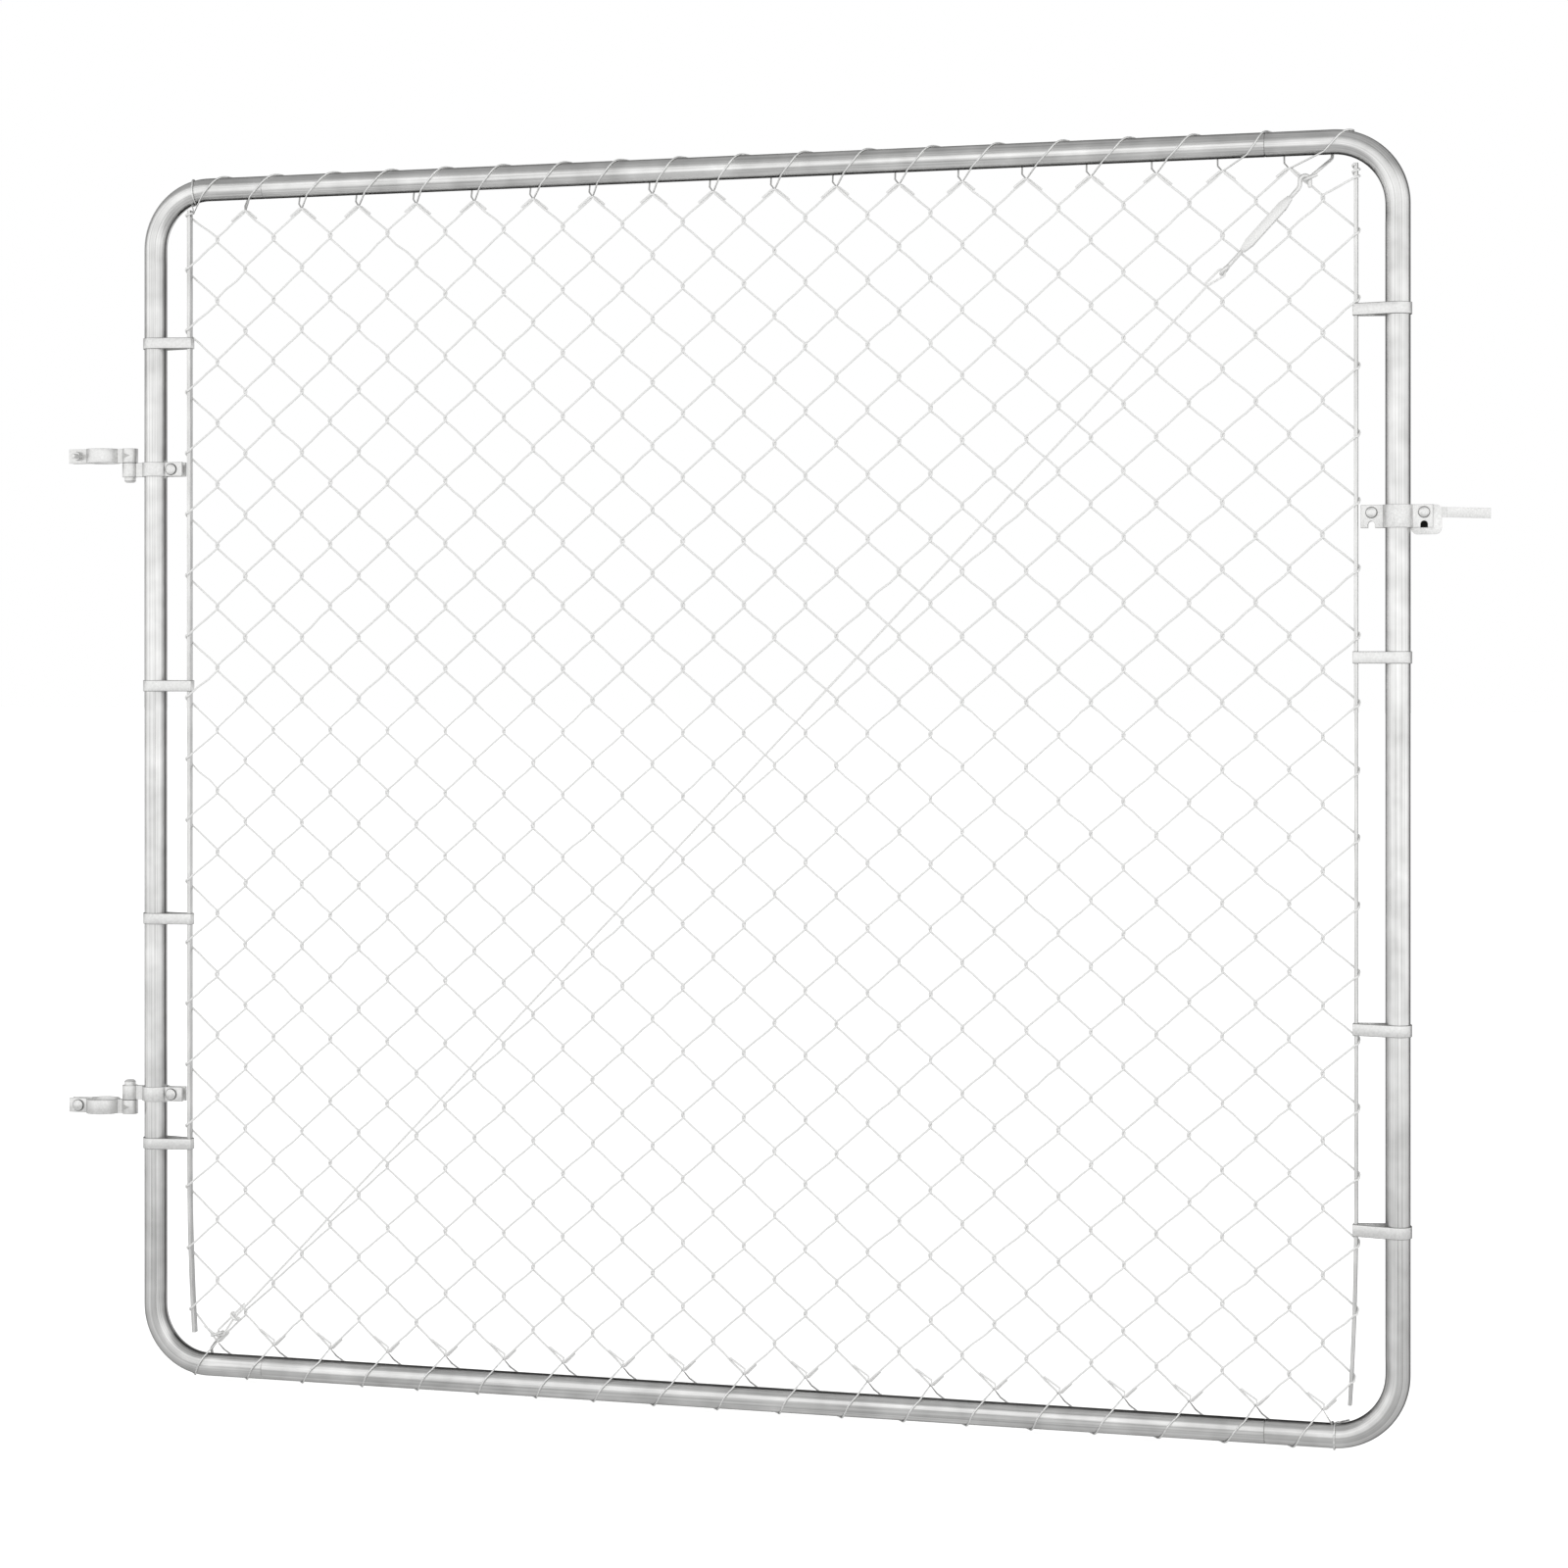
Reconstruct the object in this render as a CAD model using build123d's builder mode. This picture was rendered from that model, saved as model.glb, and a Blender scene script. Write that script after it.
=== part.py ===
from build123d import *
import math
import os

os.makedirs("parts", exist_ok=True)

# Chain link gate leaf with its hinges and latch strike, in millimetres.
# The origin lies on the swing axis, on the flat lower face of the lower post bracket.
# +X runs along the leaf towards the latch, -Y is the front, +Z is up.

# Leaf frame, measured between tube centre lines
frame_width = 1731.0
frame_height = 1652.0
tube_diameter = 31.75
tube_wall = 1.6
bend_radius = 82.0
stub_length = 86.0
lower_hinge_height = 348.0
upper_hinge_drop = 382.5

# Hinges
post_diameter = 41.3
post_clearance = 0.1
staked_clearance = 0.05
tube_clearance = 0.1
pin_diameter = 15.9
pin_clearance = 0.08
pin_projection = 7.5
pin_chamfer = 2.0
strap_thickness = 3.0
strap_height = 20.0
strap_gap = 0.5
post_to_pin = 42.0
pin_to_tube = 40.0
ear_gap = 9.0
post_ear_length = 29.0
post_bolt_reach = 11.5
tube_ear_length = 28.0
tube_bolt_reach = 8.0
fold_slit = 0.6

# Carriage bolts of the hinges and the latch
bolt_diameter = 6.35
bolt_clearance = 0.15
hinge_bolt_head = 16.8
latch_bolt_head = 14.8
bolt_head_height = 3.6
bolt_head_rim = 0.8
nut_across_flats = 11.1
nut_height = 5.6
bolt_tail = 6.0

# Tension bars and the flat bands that hold them
bar_inset = 52.5
bar_width = 9.5
bar_thickness = 4.8
bar_end_gap = 24.2
band_height = 15.5
band_thickness = 1.8
band_clearance = 0.1
band_edge_drop = 215.0
left_band_low = 309.0
right_band_low = 264.0
left_band_shares = [0.281, 0.572]
right_band_shares = [0.218, 0.622]

# Chain link fabric
wire_diameter = 2.9
diamond_columns = 19
node_rows = 36
first_row_drop = 67.0
last_row_rise = 74.0
top_knuckle_gap = 18.0
bottom_knuckle_gap = 18.6
fabric_clearance = 0.2

# Tie wire wound round each rail
tie_diameter = 2.4
tie_clearance = 0.2
tie_sides = 6
tie_seat = 1.9
top_tie_lead = 2.0
bottom_tie_lead = 1.1

# Brace cable and its fittings, in one plane in front of the fabric
# Low places are measured from the lower hinge corner of the tube centre lines,
# high places from the upper latch corner
brace_depth = 12.0
cable_diameter = 3.3
cable_clearance = 0.3
strand_gap = 0.4
cable_low = (109.7, 52.3)
cable_high = (240.9, 180.0)
loop_spread = 1.25
low_loop_reach = 4.0
low_tail = 50.0
high_tail = 3.0
clip_reach = 22.0
clip_length = 6.0
clip_width = 16.0
clip_depth = 9.0
body_low = (196.0, 136.5)
body_high = (134.8, 70.8)
body_width = 12.0
body_end_width = 9.0
body_depth = 12.0
body_wall = 2.6
body_boss = 14.0
screw_diameter = 5.8
screw_clearance = 0.1
screw_tail = 10.0
eye_wire = 5.2
eye_radius = 6.3
eye_reach = 33.0
hook_centre = (116.1, 49.8)
hook_radius = 6.3
hook_bend = 12.0
hook_tip = 9.0
link_diameter = 4.4
link_clearance = 0.3
link_drop = 11.0
link_lead = 5.0
link_tail = 17.0
link_tail_rise = 0.4
link_end = 3.0
high_link_inset = 84.0
low_link_inset = 86.0

# Latch strike on the free side of the frame
latch_drop = 479.0
latch_height = 29.3
latch_thickness = 3.0
latch_ear_left = 46.5
latch_ear_right = 44.0
latch_bolt_offset = 33.0
latch_bolt_rise = 5.0
notch_depth = 8.5
notch_width = 9.0
pad_thickness = 2.0
pad_clearance = 0.1
strike_thickness = 3.0
strike_plate_end = 54.7
strike_plate_height = 38.0
strike_corner = 8.0
strike_reach = 115.0
strike_arm_height = 13.0
strike_jog = 6.0
plate_clearance = 0.3

# Places that follow from the driving sizes
tube_radius = tube_diameter / 2
post_radius = post_diameter / 2
pin_radius = pin_diameter / 2
left_x = pin_to_tube
right_x = left_x + frame_width
post_x = -post_to_pin
bottom_z = -lower_hinge_height
top_z = bottom_z + frame_height
lower_frame_strap_z = strap_height + strap_gap
upper_frame_strap_z = top_z - upper_hinge_drop - strap_height
upper_post_strap_z = upper_frame_strap_z + strap_height + strap_gap
collar_radius = tube_radius + tube_clearance
post_collar_radius = post_radius + post_clearance
bend_reach = bend_radius + stub_length


def save(part, name):
    part.label = name
    export_step(part, "parts/" + name + ".step")


# Two bent side tubes, each with a short level stub at the top and the bottom
def side_tube(x, inward):
    stub_x = x + inward * bend_reach
    corner = (x, 0, bottom_z)
    top_corner = (x, 0, top_z)
    with BuildPart() as tube:
        with BuildLine() as path:
            FilletPolyline(
                (stub_x, 0, bottom_z), corner, top_corner, (stub_x, 0, top_z), radius=bend_radius
            )
        with BuildSketch(Plane(origin=(stub_x, 0, bottom_z), z_dir=(-inward, 0, 0))):
            Circle(tube_radius)
            Circle(tube_radius - tube_wall, mode=Mode.SUBTRACT)
        sweep()
    return tube.part


save(side_tube(left_x, 1), "left_frame_tube")
save(side_tube(right_x, -1), "right_frame_tube")


# Straight rails that butt against the stubs
def rail(z):
    start_x = left_x + bend_reach
    end_x = right_x - bend_reach
    with BuildPart() as tube:
        with BuildSketch(Plane(origin=(start_x, 0, z), z_dir=(1, 0, 0))):
            Circle(tube_radius)
            Circle(tube_radius - tube_wall, mode=Mode.SUBTRACT)
        extrude(amount=end_x - start_x)
    return tube.part


save(rail(top_z), "top_rail")
save(rail(bottom_z), "bottom_rail")


# Flat tension bars, wide side across the fabric
bar_low_z = bottom_z + tube_radius + bar_end_gap
bar_high_z = top_z - tube_radius - bar_end_gap / 2
left_bar_x = left_x + bar_inset
right_bar_x = right_x - bar_inset


def tension_bar(x):
    with BuildPart() as bar:
        with BuildSketch(Plane.XY.offset(bar_low_z)):
            with Locations((x, 0)):
                Rectangle(bar_thickness, bar_width)
        extrude(amount=bar_high_z - bar_low_z)
        fillet(bar.edges().filter_by(Axis.Z), radius=bar_thickness / 6)
    return bar.part


save(tension_bar(left_bar_x), "left_tension_bar")
save(tension_bar(right_bar_x), "right_tension_bar")


# Bands: one flat strip bent round the tube and the tension bar
def band(x, inward, z):
    grip_x = x + inward * (bar_inset + bar_thickness / 2 + band_clearance)
    grip_y = bar_width / 2 + band_clearance
    inner = tube_radius + band_clearance
    with BuildPart() as strip:
        with BuildSketch(Plane.XY.offset(z - band_height / 2)):
            with Locations((x, 0)):
                Circle(inner)
            with Locations((grip_x - inward * grip_y, 0)):
                Rectangle(2 * grip_y, 2 * grip_y)
            make_hull()
            offset(amount=band_thickness, kind=Kind.ARC, mode=Mode.ADD)
            with BuildSketch(Plane.XY.offset(z - band_height / 2), mode=Mode.SUBTRACT):
                with Locations((x, 0)):
                    Circle(inner)
                with Locations((grip_x - inward * grip_y, 0)):
                    Rectangle(2 * grip_y, 2 * grip_y)
                make_hull()
        extrude(amount=band_height)
    return strip.part


def band_heights(low, shares):
    high = frame_height - band_edge_drop
    middle = [low + share * (high - low) for share in shares]
    return [low] + middle + [high]


for number, height in enumerate(band_heights(left_band_low, left_band_shares), start=1):
    save(band(left_x, 1, bottom_z + height), "left_band_" + str(number))
for number, height in enumerate(band_heights(right_band_low, right_band_shares), start=1):
    save(band(right_x, -1, bottom_z + height), "right_band_" + str(number))


# Chain link fabric, as zigzag wires fused where they interlock
fabric_left = left_bar_x + bar_thickness / 2 + fabric_clearance
fabric_right = right_bar_x - bar_thickness / 2 - fabric_clearance
half_pitch = (fabric_right - fabric_left) / (2 * diamond_columns)
first_row_z = top_z - first_row_drop
last_row_z = bottom_z + last_row_rise
row_pitch = (first_row_z - last_row_z) / (node_rows - 1)
top_knuckle_z = top_z - tube_radius - top_knuckle_gap
bottom_knuckle_z = bottom_z + tube_radius + bottom_knuckle_gap
row_heights = [top_knuckle_z]
row_heights += [first_row_z - row * row_pitch for row in range(node_rows)]
row_heights += [bottom_knuckle_z]
strip_half = wire_diameter / math.sqrt(2)


def zigzag(wire, first_wire, last_wire):
    near = fabric_left + wire * half_pitch + (strip_half if wire == first_wire else 0)
    far = fabric_left + (wire + 1) * half_pitch - (strip_half if wire == last_wire else 0)
    turns = []
    for row, height in enumerate(row_heights):
        turns.append((near if (row + wire) % 2 == 0 else far, height))
    left_side = [(x - strip_half, z) for x, z in turns]
    right_side = [(x + strip_half, z) for x, z in reversed(turns)]
    return left_side + right_side


def fabric(first_wire, end_wire):
    with BuildPart() as lattice:
        with BuildSketch(Plane(origin=(0, wire_diameter / 2, 0), x_dir=(1, 0, 0), z_dir=(0, -1, 0))):
            for wire in range(first_wire, end_wire):
                Polygon(*zigzag(wire, first_wire, end_wire - 1), align=None)
        extrude(amount=wire_diameter)
    return lattice.part


save(fabric(0, diamond_columns), "left_fabric")
save(fabric(diamond_columns, 2 * diamond_columns), "right_fabric")


# Tie wire: one wire wound round a rail, one turn for each diamond
def bend_sag(x):
    overrun = max(left_x + bend_radius - x, x - right_x + bend_radius, 0)
    return bend_radius - math.sqrt(bend_radius**2 - overrun**2)


def tie_wire(z, knuckle_z, knuckle_columns, lean, lead):
    wind = (tube_radius + tie_clearance + tie_diameter / 2) / math.cos(math.pi / tie_sides)
    side = 1 if knuckle_z < z else -1
    turn = lean * 2 * half_pitch
    points = []
    for column in knuckle_columns:
        knuckle_x = fabric_left + column * half_pitch
        points.append((knuckle_x, 0, knuckle_z + side * tie_seat))
        last_step = tie_sides // 2 if column == knuckle_columns[-1] else tie_sides - 1
        for step in range(1, last_step + 1):
            angle = 2 * math.pi * step / tie_sides
            x = knuckle_x + turn * (1 - (1 - step / tie_sides) ** lead)
            centre_z = z - side * bend_sag(x)
            points.append((x, -wind * math.sin(angle), centre_z - side * wind * math.cos(angle)))
    with BuildPart() as wire:
        with BuildLine() as path:
            Polyline(*points)
        with BuildSketch(Plane(origin=path.line @ 0, z_dir=path.line % 0)):
            RegularPolygon(tie_diameter / 2, 6)
        sweep(transition=Transition.RIGHT)
    return wire.part


top_columns = range(2, 2 * diamond_columns - 1, 2)
bottom_columns = range(2 * diamond_columns - 1, 0, -2)
save(tie_wire(top_z, top_knuckle_z, top_columns, 1, top_tie_lead), "top_tie_wire")
save(tie_wire(bottom_z, bottom_knuckle_z, bottom_columns, -1, bottom_tie_lead), "bottom_tie_wire")


# Hinge straps: one strip folded round the pin, closed on itself at the neck,
# opened round the post or tube, and ended in two ears that one bolt draws together
def hinge_strap(clasp_x, clasp_radius, barrel_radius, ear_length, bolt_reach, z):
    away = math.copysign(1, clasp_x)
    outer = clasp_radius + strap_thickness
    ear_end = clasp_x + away * (outer + ear_length - strap_thickness)
    bolt_x = clasp_x + away * (outer + bolt_reach)
    ear_middle = (clasp_x + ear_end) / 2
    ear_span = abs(ear_end - clasp_x)
    with BuildPart() as strap:
        with BuildSketch(Plane.XY.offset(z)):
            Circle(pin_radius + strap_thickness)
            with Locations((clasp_x, 0)):
                Circle(outer)
            with Locations((clasp_x / 2, 0)):
                Rectangle(abs(clasp_x), 2 * strap_thickness + fold_slit)
            with Locations((ear_middle, 0)):
                Rectangle(ear_span, ear_gap + 2 * strap_thickness)
                Rectangle(ear_span, ear_gap, mode=Mode.SUBTRACT)
            with Locations((clasp_x / 2, 0)):
                Rectangle(abs(clasp_x), fold_slit, mode=Mode.SUBTRACT)
            with Locations((clasp_x, 0)):
                Circle(clasp_radius, mode=Mode.SUBTRACT)
            Circle(barrel_radius, mode=Mode.SUBTRACT)
        extrude(amount=strap_height)
        with BuildSketch(Plane.XZ):
            with Locations((bolt_x, z + strap_height / 2)):
                Circle(bolt_diameter / 2 + bolt_clearance)
        extrude(amount=outer, both=True, mode=Mode.SUBTRACT)
    return strap.part, bolt_x


# A domed bolt and its hexagon nut, drawn along Y through two plates
def plate_bolt(x, z, half_grip, head_side, head_diameter):
    seat = head_side * half_grip
    length = 2 * half_grip + nut_height + bolt_tail
    with BuildPart() as bolt:
        with BuildSketch(Plane(origin=(x, seat, z), x_dir=(1, 0, 0), z_dir=(0, -head_side, 0))):
            Circle(bolt_diameter / 2)
        extrude(amount=length)
        with BuildSketch(Plane(origin=(x, seat, z), x_dir=(1, 0, 0), z_dir=(0, 0, head_side))):
            with BuildLine():
                rim = (head_diameter / 2, bolt_head_rim)
                Polyline((0, bolt_head_height), (0, 0), (head_diameter / 2, 0), rim)
                TangentArc((0, bolt_head_height), rim, tangent=(1, 0))
            make_face()
        revolve(axis=Axis((x, seat, z), (0, 1, 0)))
    return bolt.part


def plate_nut(x, z, half_grip, head_side):
    seat = -head_side * half_grip
    face = Plane(origin=(x, seat, z), x_dir=(1, 0, 0), z_dir=(0, -head_side, 0))
    with BuildPart() as nut:
        with BuildSketch(face):
            RegularPolygon(nut_across_flats / 2, 6, major_radius=False)
            Circle(bolt_diameter / 2 + bolt_clearance, mode=Mode.SUBTRACT)
        extrude(amount=nut_height)
    return nut.part


def hinge_pin(low_z, high_z, tip_up):
    with BuildPart() as pin:
        with BuildSketch(Plane.XY.offset(low_z)):
            Circle(pin_radius)
        extrude(amount=high_z - low_z)
        tip = pin.faces().sort_by(Axis.Z)[-1 if tip_up else 0]
        chamfer(tip.edges(), length=pin_chamfer)
    return pin.part


half_ear_grip = ear_gap / 2 + strap_thickness


def clasp(name, x, radius, barrel_radius, ear_length, bolt_reach, z, head_side):
    strap, bolt_x = hinge_strap(x, radius, barrel_radius, ear_length, bolt_reach, z)
    bolt_z = z + strap_height / 2
    save(strap, name + "_strap")
    save(plate_bolt(bolt_x, bolt_z, half_ear_grip, head_side, hinge_bolt_head), name + "_bolt")
    save(plate_nut(bolt_x, bolt_z, half_ear_grip, head_side), name + "_nut")


staked = pin_radius + staked_clearance
running = pin_radius + pin_clearance
post_ears = (post_ear_length, post_bolt_reach)
tube_ears = (tube_ear_length, tube_bolt_reach)
clasp("lower_post", post_x, post_collar_radius, staked, *post_ears, 0, -1)
clasp("upper_post", post_x, post_collar_radius, staked, *post_ears, upper_post_strap_z, 1)
clasp("lower_frame", left_x, collar_radius, running, *tube_ears, lower_frame_strap_z, -1)
clasp("upper_frame", left_x, collar_radius, running, *tube_ears, upper_frame_strap_z, -1)

lower_pin_top = lower_frame_strap_z + strap_height + pin_projection
save(hinge_pin(0, lower_pin_top, True), "lower_hinge_pin")
upper_pin_low = upper_frame_strap_z - pin_projection
save(hinge_pin(upper_pin_low, upper_post_strap_z + strap_height, False), "upper_hinge_pin")


# Brace: a cable with a loop at each end, a turnbuckle, and a bent rod link at each corner
cable_radius = cable_diameter / 2
screw_radius = screw_diameter / 2
link_radius = link_diameter / 2


def low_place(place):
    return Vector(left_x + place[0], -brace_depth, bottom_z + place[1])


def high_place(place):
    return Vector(right_x - place[0], -brace_depth, top_z - place[1])


def rod(path_line, radius):
    with BuildPart() as bar:
        with BuildSketch(Plane(origin=path_line @ 0, z_dir=path_line % 0)):
            Circle(radius)
        sweep(path=path_line)
    return bar.part


# Turnbuckle body: a bar with thick ends and an open slot between them
body_start = high_place(body_low)
body_end = high_place(body_high)
screw_axis = (body_end - body_start).normalized()
body_length = (body_end - body_start).length
body_middle = (body_start + body_end) / 2
across = screw_axis.cross(Vector(0, 1, 0))
with BuildPart() as body:
    with BuildSketch(Plane(origin=body_middle, x_dir=screw_axis, z_dir=(0, -1, 0))):
        shoulder = body_length / 2 - body_boss
        half_width = body_width / 2
        end_width = body_end_width / 2
        with BuildLine():
            Polyline(
                (-body_length / 2, -end_width),
                (-shoulder, -half_width),
                (shoulder, -half_width),
                (body_length / 2, -end_width),
                (body_length / 2, end_width),
                (shoulder, half_width),
                (-shoulder, half_width),
                (-body_length / 2, end_width),
                close=True,
            )
        make_face()
    extrude(amount=body_depth / 2, both=True)
    with BuildSketch(Plane(origin=body_middle, x_dir=screw_axis, z_dir=across)):
        SlotOverall(body_length - 2 * body_boss, body_depth - 2 * body_wall)
    extrude(amount=body_width, both=True, mode=Mode.SUBTRACT)
    with BuildSketch(Plane(origin=body_start, z_dir=screw_axis)):
        Circle(screw_radius + screw_clearance)
    extrude(amount=body_length, mode=Mode.SUBTRACT)
save(body.part, "turnbuckle_body")

# Eye screw: a rod that ends in a closed ring, edge on to the front
screw_inside = body_boss + screw_tail
ring_centre = body_start - screw_axis * eye_reach
ring_low = ring_centre - screw_axis * eye_radius
ring_high = ring_centre + screw_axis * eye_radius
with BuildPart() as eye:
    with BuildSketch(Plane(origin=ring_high, z_dir=screw_axis)):
        Circle(screw_radius)
    extrude(amount=eye_reach - eye_radius + screw_inside)
    with BuildSketch(Plane(origin=ring_high, z_dir=(0, 1, 0))):
        Circle(eye_wire / 2)
    revolve(axis=Axis(ring_centre, across))
save(eye.part, "turnbuckle_eye")

# Hook screw: the rod turns upright, goes over the link and ends in a short tip
hook_middle = high_place(hook_centre)
shank_x = hook_middle.X - hook_radius
tip_x = hook_middle.X + hook_radius
hook_top = hook_middle.Z + hook_radius
screw_end = body_end - screw_axis * screw_inside
turn_z = body_end.Z + screw_axis.Z / screw_axis.X * (shank_x - body_end.X)
with BuildLine() as hook_path:
    FilletPolyline(
        screw_end,
        (shank_x, -brace_depth, turn_z),
        (shank_x, -brace_depth, hook_top),
        (tip_x, -brace_depth, hook_top),
        (tip_x, -brace_depth, hook_middle.Z - hook_tip),
        radius=[hook_bend, hook_radius * 0.99, hook_radius * 0.99],
    )
save(rod(hook_path.line, screw_radius), "turnbuckle_hook")

# Cable, drawn in its own plane: x along the run, y up and to the hinge side
cable_origin = low_place(cable_low)
cable_target = high_place(cable_high)
cable_run = (cable_target - cable_origin).normalized()
cable_plane = Plane(origin=cable_origin, x_dir=cable_run, z_dir=(0, -1, 0))
run_length = (cable_target - cable_origin).length
eye_seat = cable_plane.to_local_coords(ring_low)
low_loop = link_radius + cable_clearance + cable_radius
high_loop = eye_wire / 2 + cable_clearance + cable_radius
low_side = low_loop * loop_spread
high_side = high_loop * loop_spread
strand_pitch = cable_diameter + strand_gap
with BuildLine(cable_plane) as cable_path:
    FilletPolyline(
        (low_tail, strand_pitch),
        (clip_reach, strand_pitch),
        (-low_loop_reach - low_loop, low_side),
        (-low_loop_reach - low_loop, -low_side),
        (clip_reach, 0),
        (run_length, 0),
        (eye_seat.X + high_loop, eye_seat.Y - high_side),
        (eye_seat.X + high_loop, eye_seat.Y + high_side),
        (run_length, strand_pitch),
        (run_length - high_tail, strand_pitch),
        radius=[
            4 * low_loop,
            0.9 * low_loop,
            0.9 * low_loop,
            4 * low_loop,
            2 * high_loop,
            0.9 * high_loop,
            0.9 * high_loop,
            2 * high_loop,
        ],
    )
save(rod(cable_path.line, cable_radius), "brace_cable")

# Clip that clamps the doubled end of the cable
with BuildPart() as clip:
    clip_middle = cable_plane.from_local_coords((clip_reach + clip_length, strand_pitch / 2, 0))
    with BuildSketch(Plane(origin=clip_middle, x_dir=(0, 1, 0), z_dir=cable_run)):
        RectangleRounded(clip_depth, clip_width, clip_depth / 4)
        with Locations((0, -strand_pitch / 2), (0, strand_pitch / 2)):
            Circle(cable_radius + screw_clearance, mode=Mode.SUBTRACT)
    extrude(amount=clip_length)
save(clip.part, "cable_clip")


# Link: a rod bent round what it holds, with a short tail in front, then taken
# behind the rail and over its far side
def corner_link(hold, grip, rail_z, side, tube_x):
    wrap = tube_radius + link_clearance + link_radius
    front_y = -brace_depth - grip
    back_y = -brace_depth + grip
    pull = Vector(tube_x - hold.X, 0, rail_z - side * wrap - hold.Z).normalized()
    bend = hold - pull * grip
    drop_z = rail_z - side * (wrap + link_drop)
    drop_x = hold.X + side * link_lead
    with BuildLine() as path:
        FilletPolyline(
            (hold.X + side * link_tail, front_y, hold.Z + side * link_tail * link_tail_rise),
            (bend.X, front_y, bend.Z),
            (bend.X, back_y, bend.Z),
            (drop_x, back_y, drop_z),
            (tube_x, wrap, rail_z - side * wrap),
            (tube_x, wrap, rail_z + side * wrap),
            (tube_x, link_end, rail_z + side * wrap),
            radius=[grip * 0.95, grip * 0.95, grip, link_drop, wrap * 0.8],
        )
    return rod(path.line, link_radius)


hook_seat = hook_middle + Vector(1, 0, 1).normalized() * hook_radius
hook_grip = screw_radius + link_clearance + link_radius
save(
    corner_link(hook_seat, hook_grip, top_z, 1, right_x - high_link_inset),
    "upper_brace_link",
)
loop_middle = cable_plane.from_local_coords((-low_loop_reach, 0, 0))
low_pull = (low_place((low_link_inset, 0)) - loop_middle).normalized()
loop_seat = loop_middle + low_pull * low_loop
save(
    corner_link(loop_seat, low_loop, bottom_z, -1, left_x + low_link_inset),
    "lower_brace_link",
)


# Latch strike: two mirrored clamp halves, and a flat arm bolted between their right ears
latch_z = top_z - latch_drop
seam = strike_thickness / 2


def clamp_half(side):
    outer = collar_radius + latch_thickness
    ear_y = side * (seam + latch_thickness / 2)
    ear_span = latch_ear_left + latch_ear_right
    ear_x = right_x + (latch_ear_right - latch_ear_left) / 2
    back = Plane.XY.offset(latch_z - latch_height / 2)
    with BuildPart() as half:
        with BuildSketch(back):
            with Locations((right_x, 0)):
                Circle(outer)
            with Locations((ear_x, ear_y)):
                Rectangle(ear_span, latch_thickness)
            with Locations((right_x, 0)):
                Circle(collar_radius, mode=Mode.SUBTRACT)
            with Locations((right_x, -side * (outer - seam))):
                Rectangle(2 * ear_span, 2 * outer, mode=Mode.SUBTRACT)
        extrude(amount=latch_height)
        cut_plane = Plane.XZ.offset(2 * outer)
        with BuildSketch(cut_plane):
            for offset_x in (-latch_bolt_offset, latch_bolt_offset):
                bolt_x = right_x + offset_x
                with Locations((bolt_x, latch_z + latch_bolt_rise)):
                    Circle(bolt_diameter / 2 + bolt_clearance)
                with Locations((bolt_x, latch_z - latch_height / 2)):
                    SlotOverall(2 * notch_depth, notch_width, rotation=90)
        extrude(amount=-4 * outer, mode=Mode.SUBTRACT)
    return half.part


save(clamp_half(-1), "latch_front_clamp")
save(clamp_half(1), "latch_back_clamp")

for name, offset_x in (("left", -latch_bolt_offset), ("right", latch_bolt_offset)):
    bolt_x = right_x + offset_x
    bolt_z = latch_z + latch_bolt_rise
    half_grip = seam + latch_thickness
    save(plate_bolt(bolt_x, bolt_z, half_grip, -1, latch_bolt_head), "latch_" + name + "_bolt")
    save(plate_nut(bolt_x, bolt_z, half_grip, -1), "latch_" + name + "_nut")

# Rubber pad in the open notch of the right front ear, against the strike
with BuildPart() as pad:
    with BuildSketch(Plane.XZ.offset(seam)):
        with Locations((right_x + latch_bolt_offset, latch_z - latch_height / 2)):
            SlotOverall(2 * notch_depth - 2 * pad_clearance, notch_width - 2 * pad_clearance, rotation=90)
        with Locations((right_x + latch_bolt_offset, latch_z - latch_height)):
            Rectangle(notch_width, latch_height, mode=Mode.SUBTRACT)
    extrude(amount=pad_thickness)
save(pad.part, "latch_pad")

# Strike: a plate with rounded corners and a narrower arm jogged to the back
with BuildPart() as strike:
    with BuildSketch(Plane.XZ.offset(-seam)):
        plate_start = collar_radius + plate_clearance
        plate_x = right_x + (plate_start + strike_plate_end) / 2
        with Locations((plate_x, latch_z + (latch_height - strike_plate_height) / 2)):
            RectangleRounded(strike_plate_end - plate_start, strike_plate_height, strike_corner)
        with Locations((right_x + latch_bolt_offset, latch_z + latch_bolt_rise)):
            Circle(bolt_diameter / 2 + bolt_clearance, mode=Mode.SUBTRACT)
    extrude(amount=strike_thickness)
    with BuildSketch(Plane.XY.offset(latch_z + latch_bolt_rise - strike_arm_height / 2)):
        with BuildLine():
            bend_x = right_x + strike_plate_end
            Polyline(
                (bend_x - strike_thickness, -seam),
                (bend_x, -seam),
                (bend_x + strike_jog, strike_jog - seam),
                (right_x + strike_reach, strike_jog - seam),
                (right_x + strike_reach, strike_jog + seam),
                (bend_x + strike_jog - strike_thickness / 2, strike_jog + seam),
                (bend_x - strike_thickness / 2, seam),
                (bend_x - strike_thickness, seam),
                close=True,
            )
        make_face()
    extrude(amount=strike_arm_height)
save(strike.part, "strike_arm")
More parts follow.
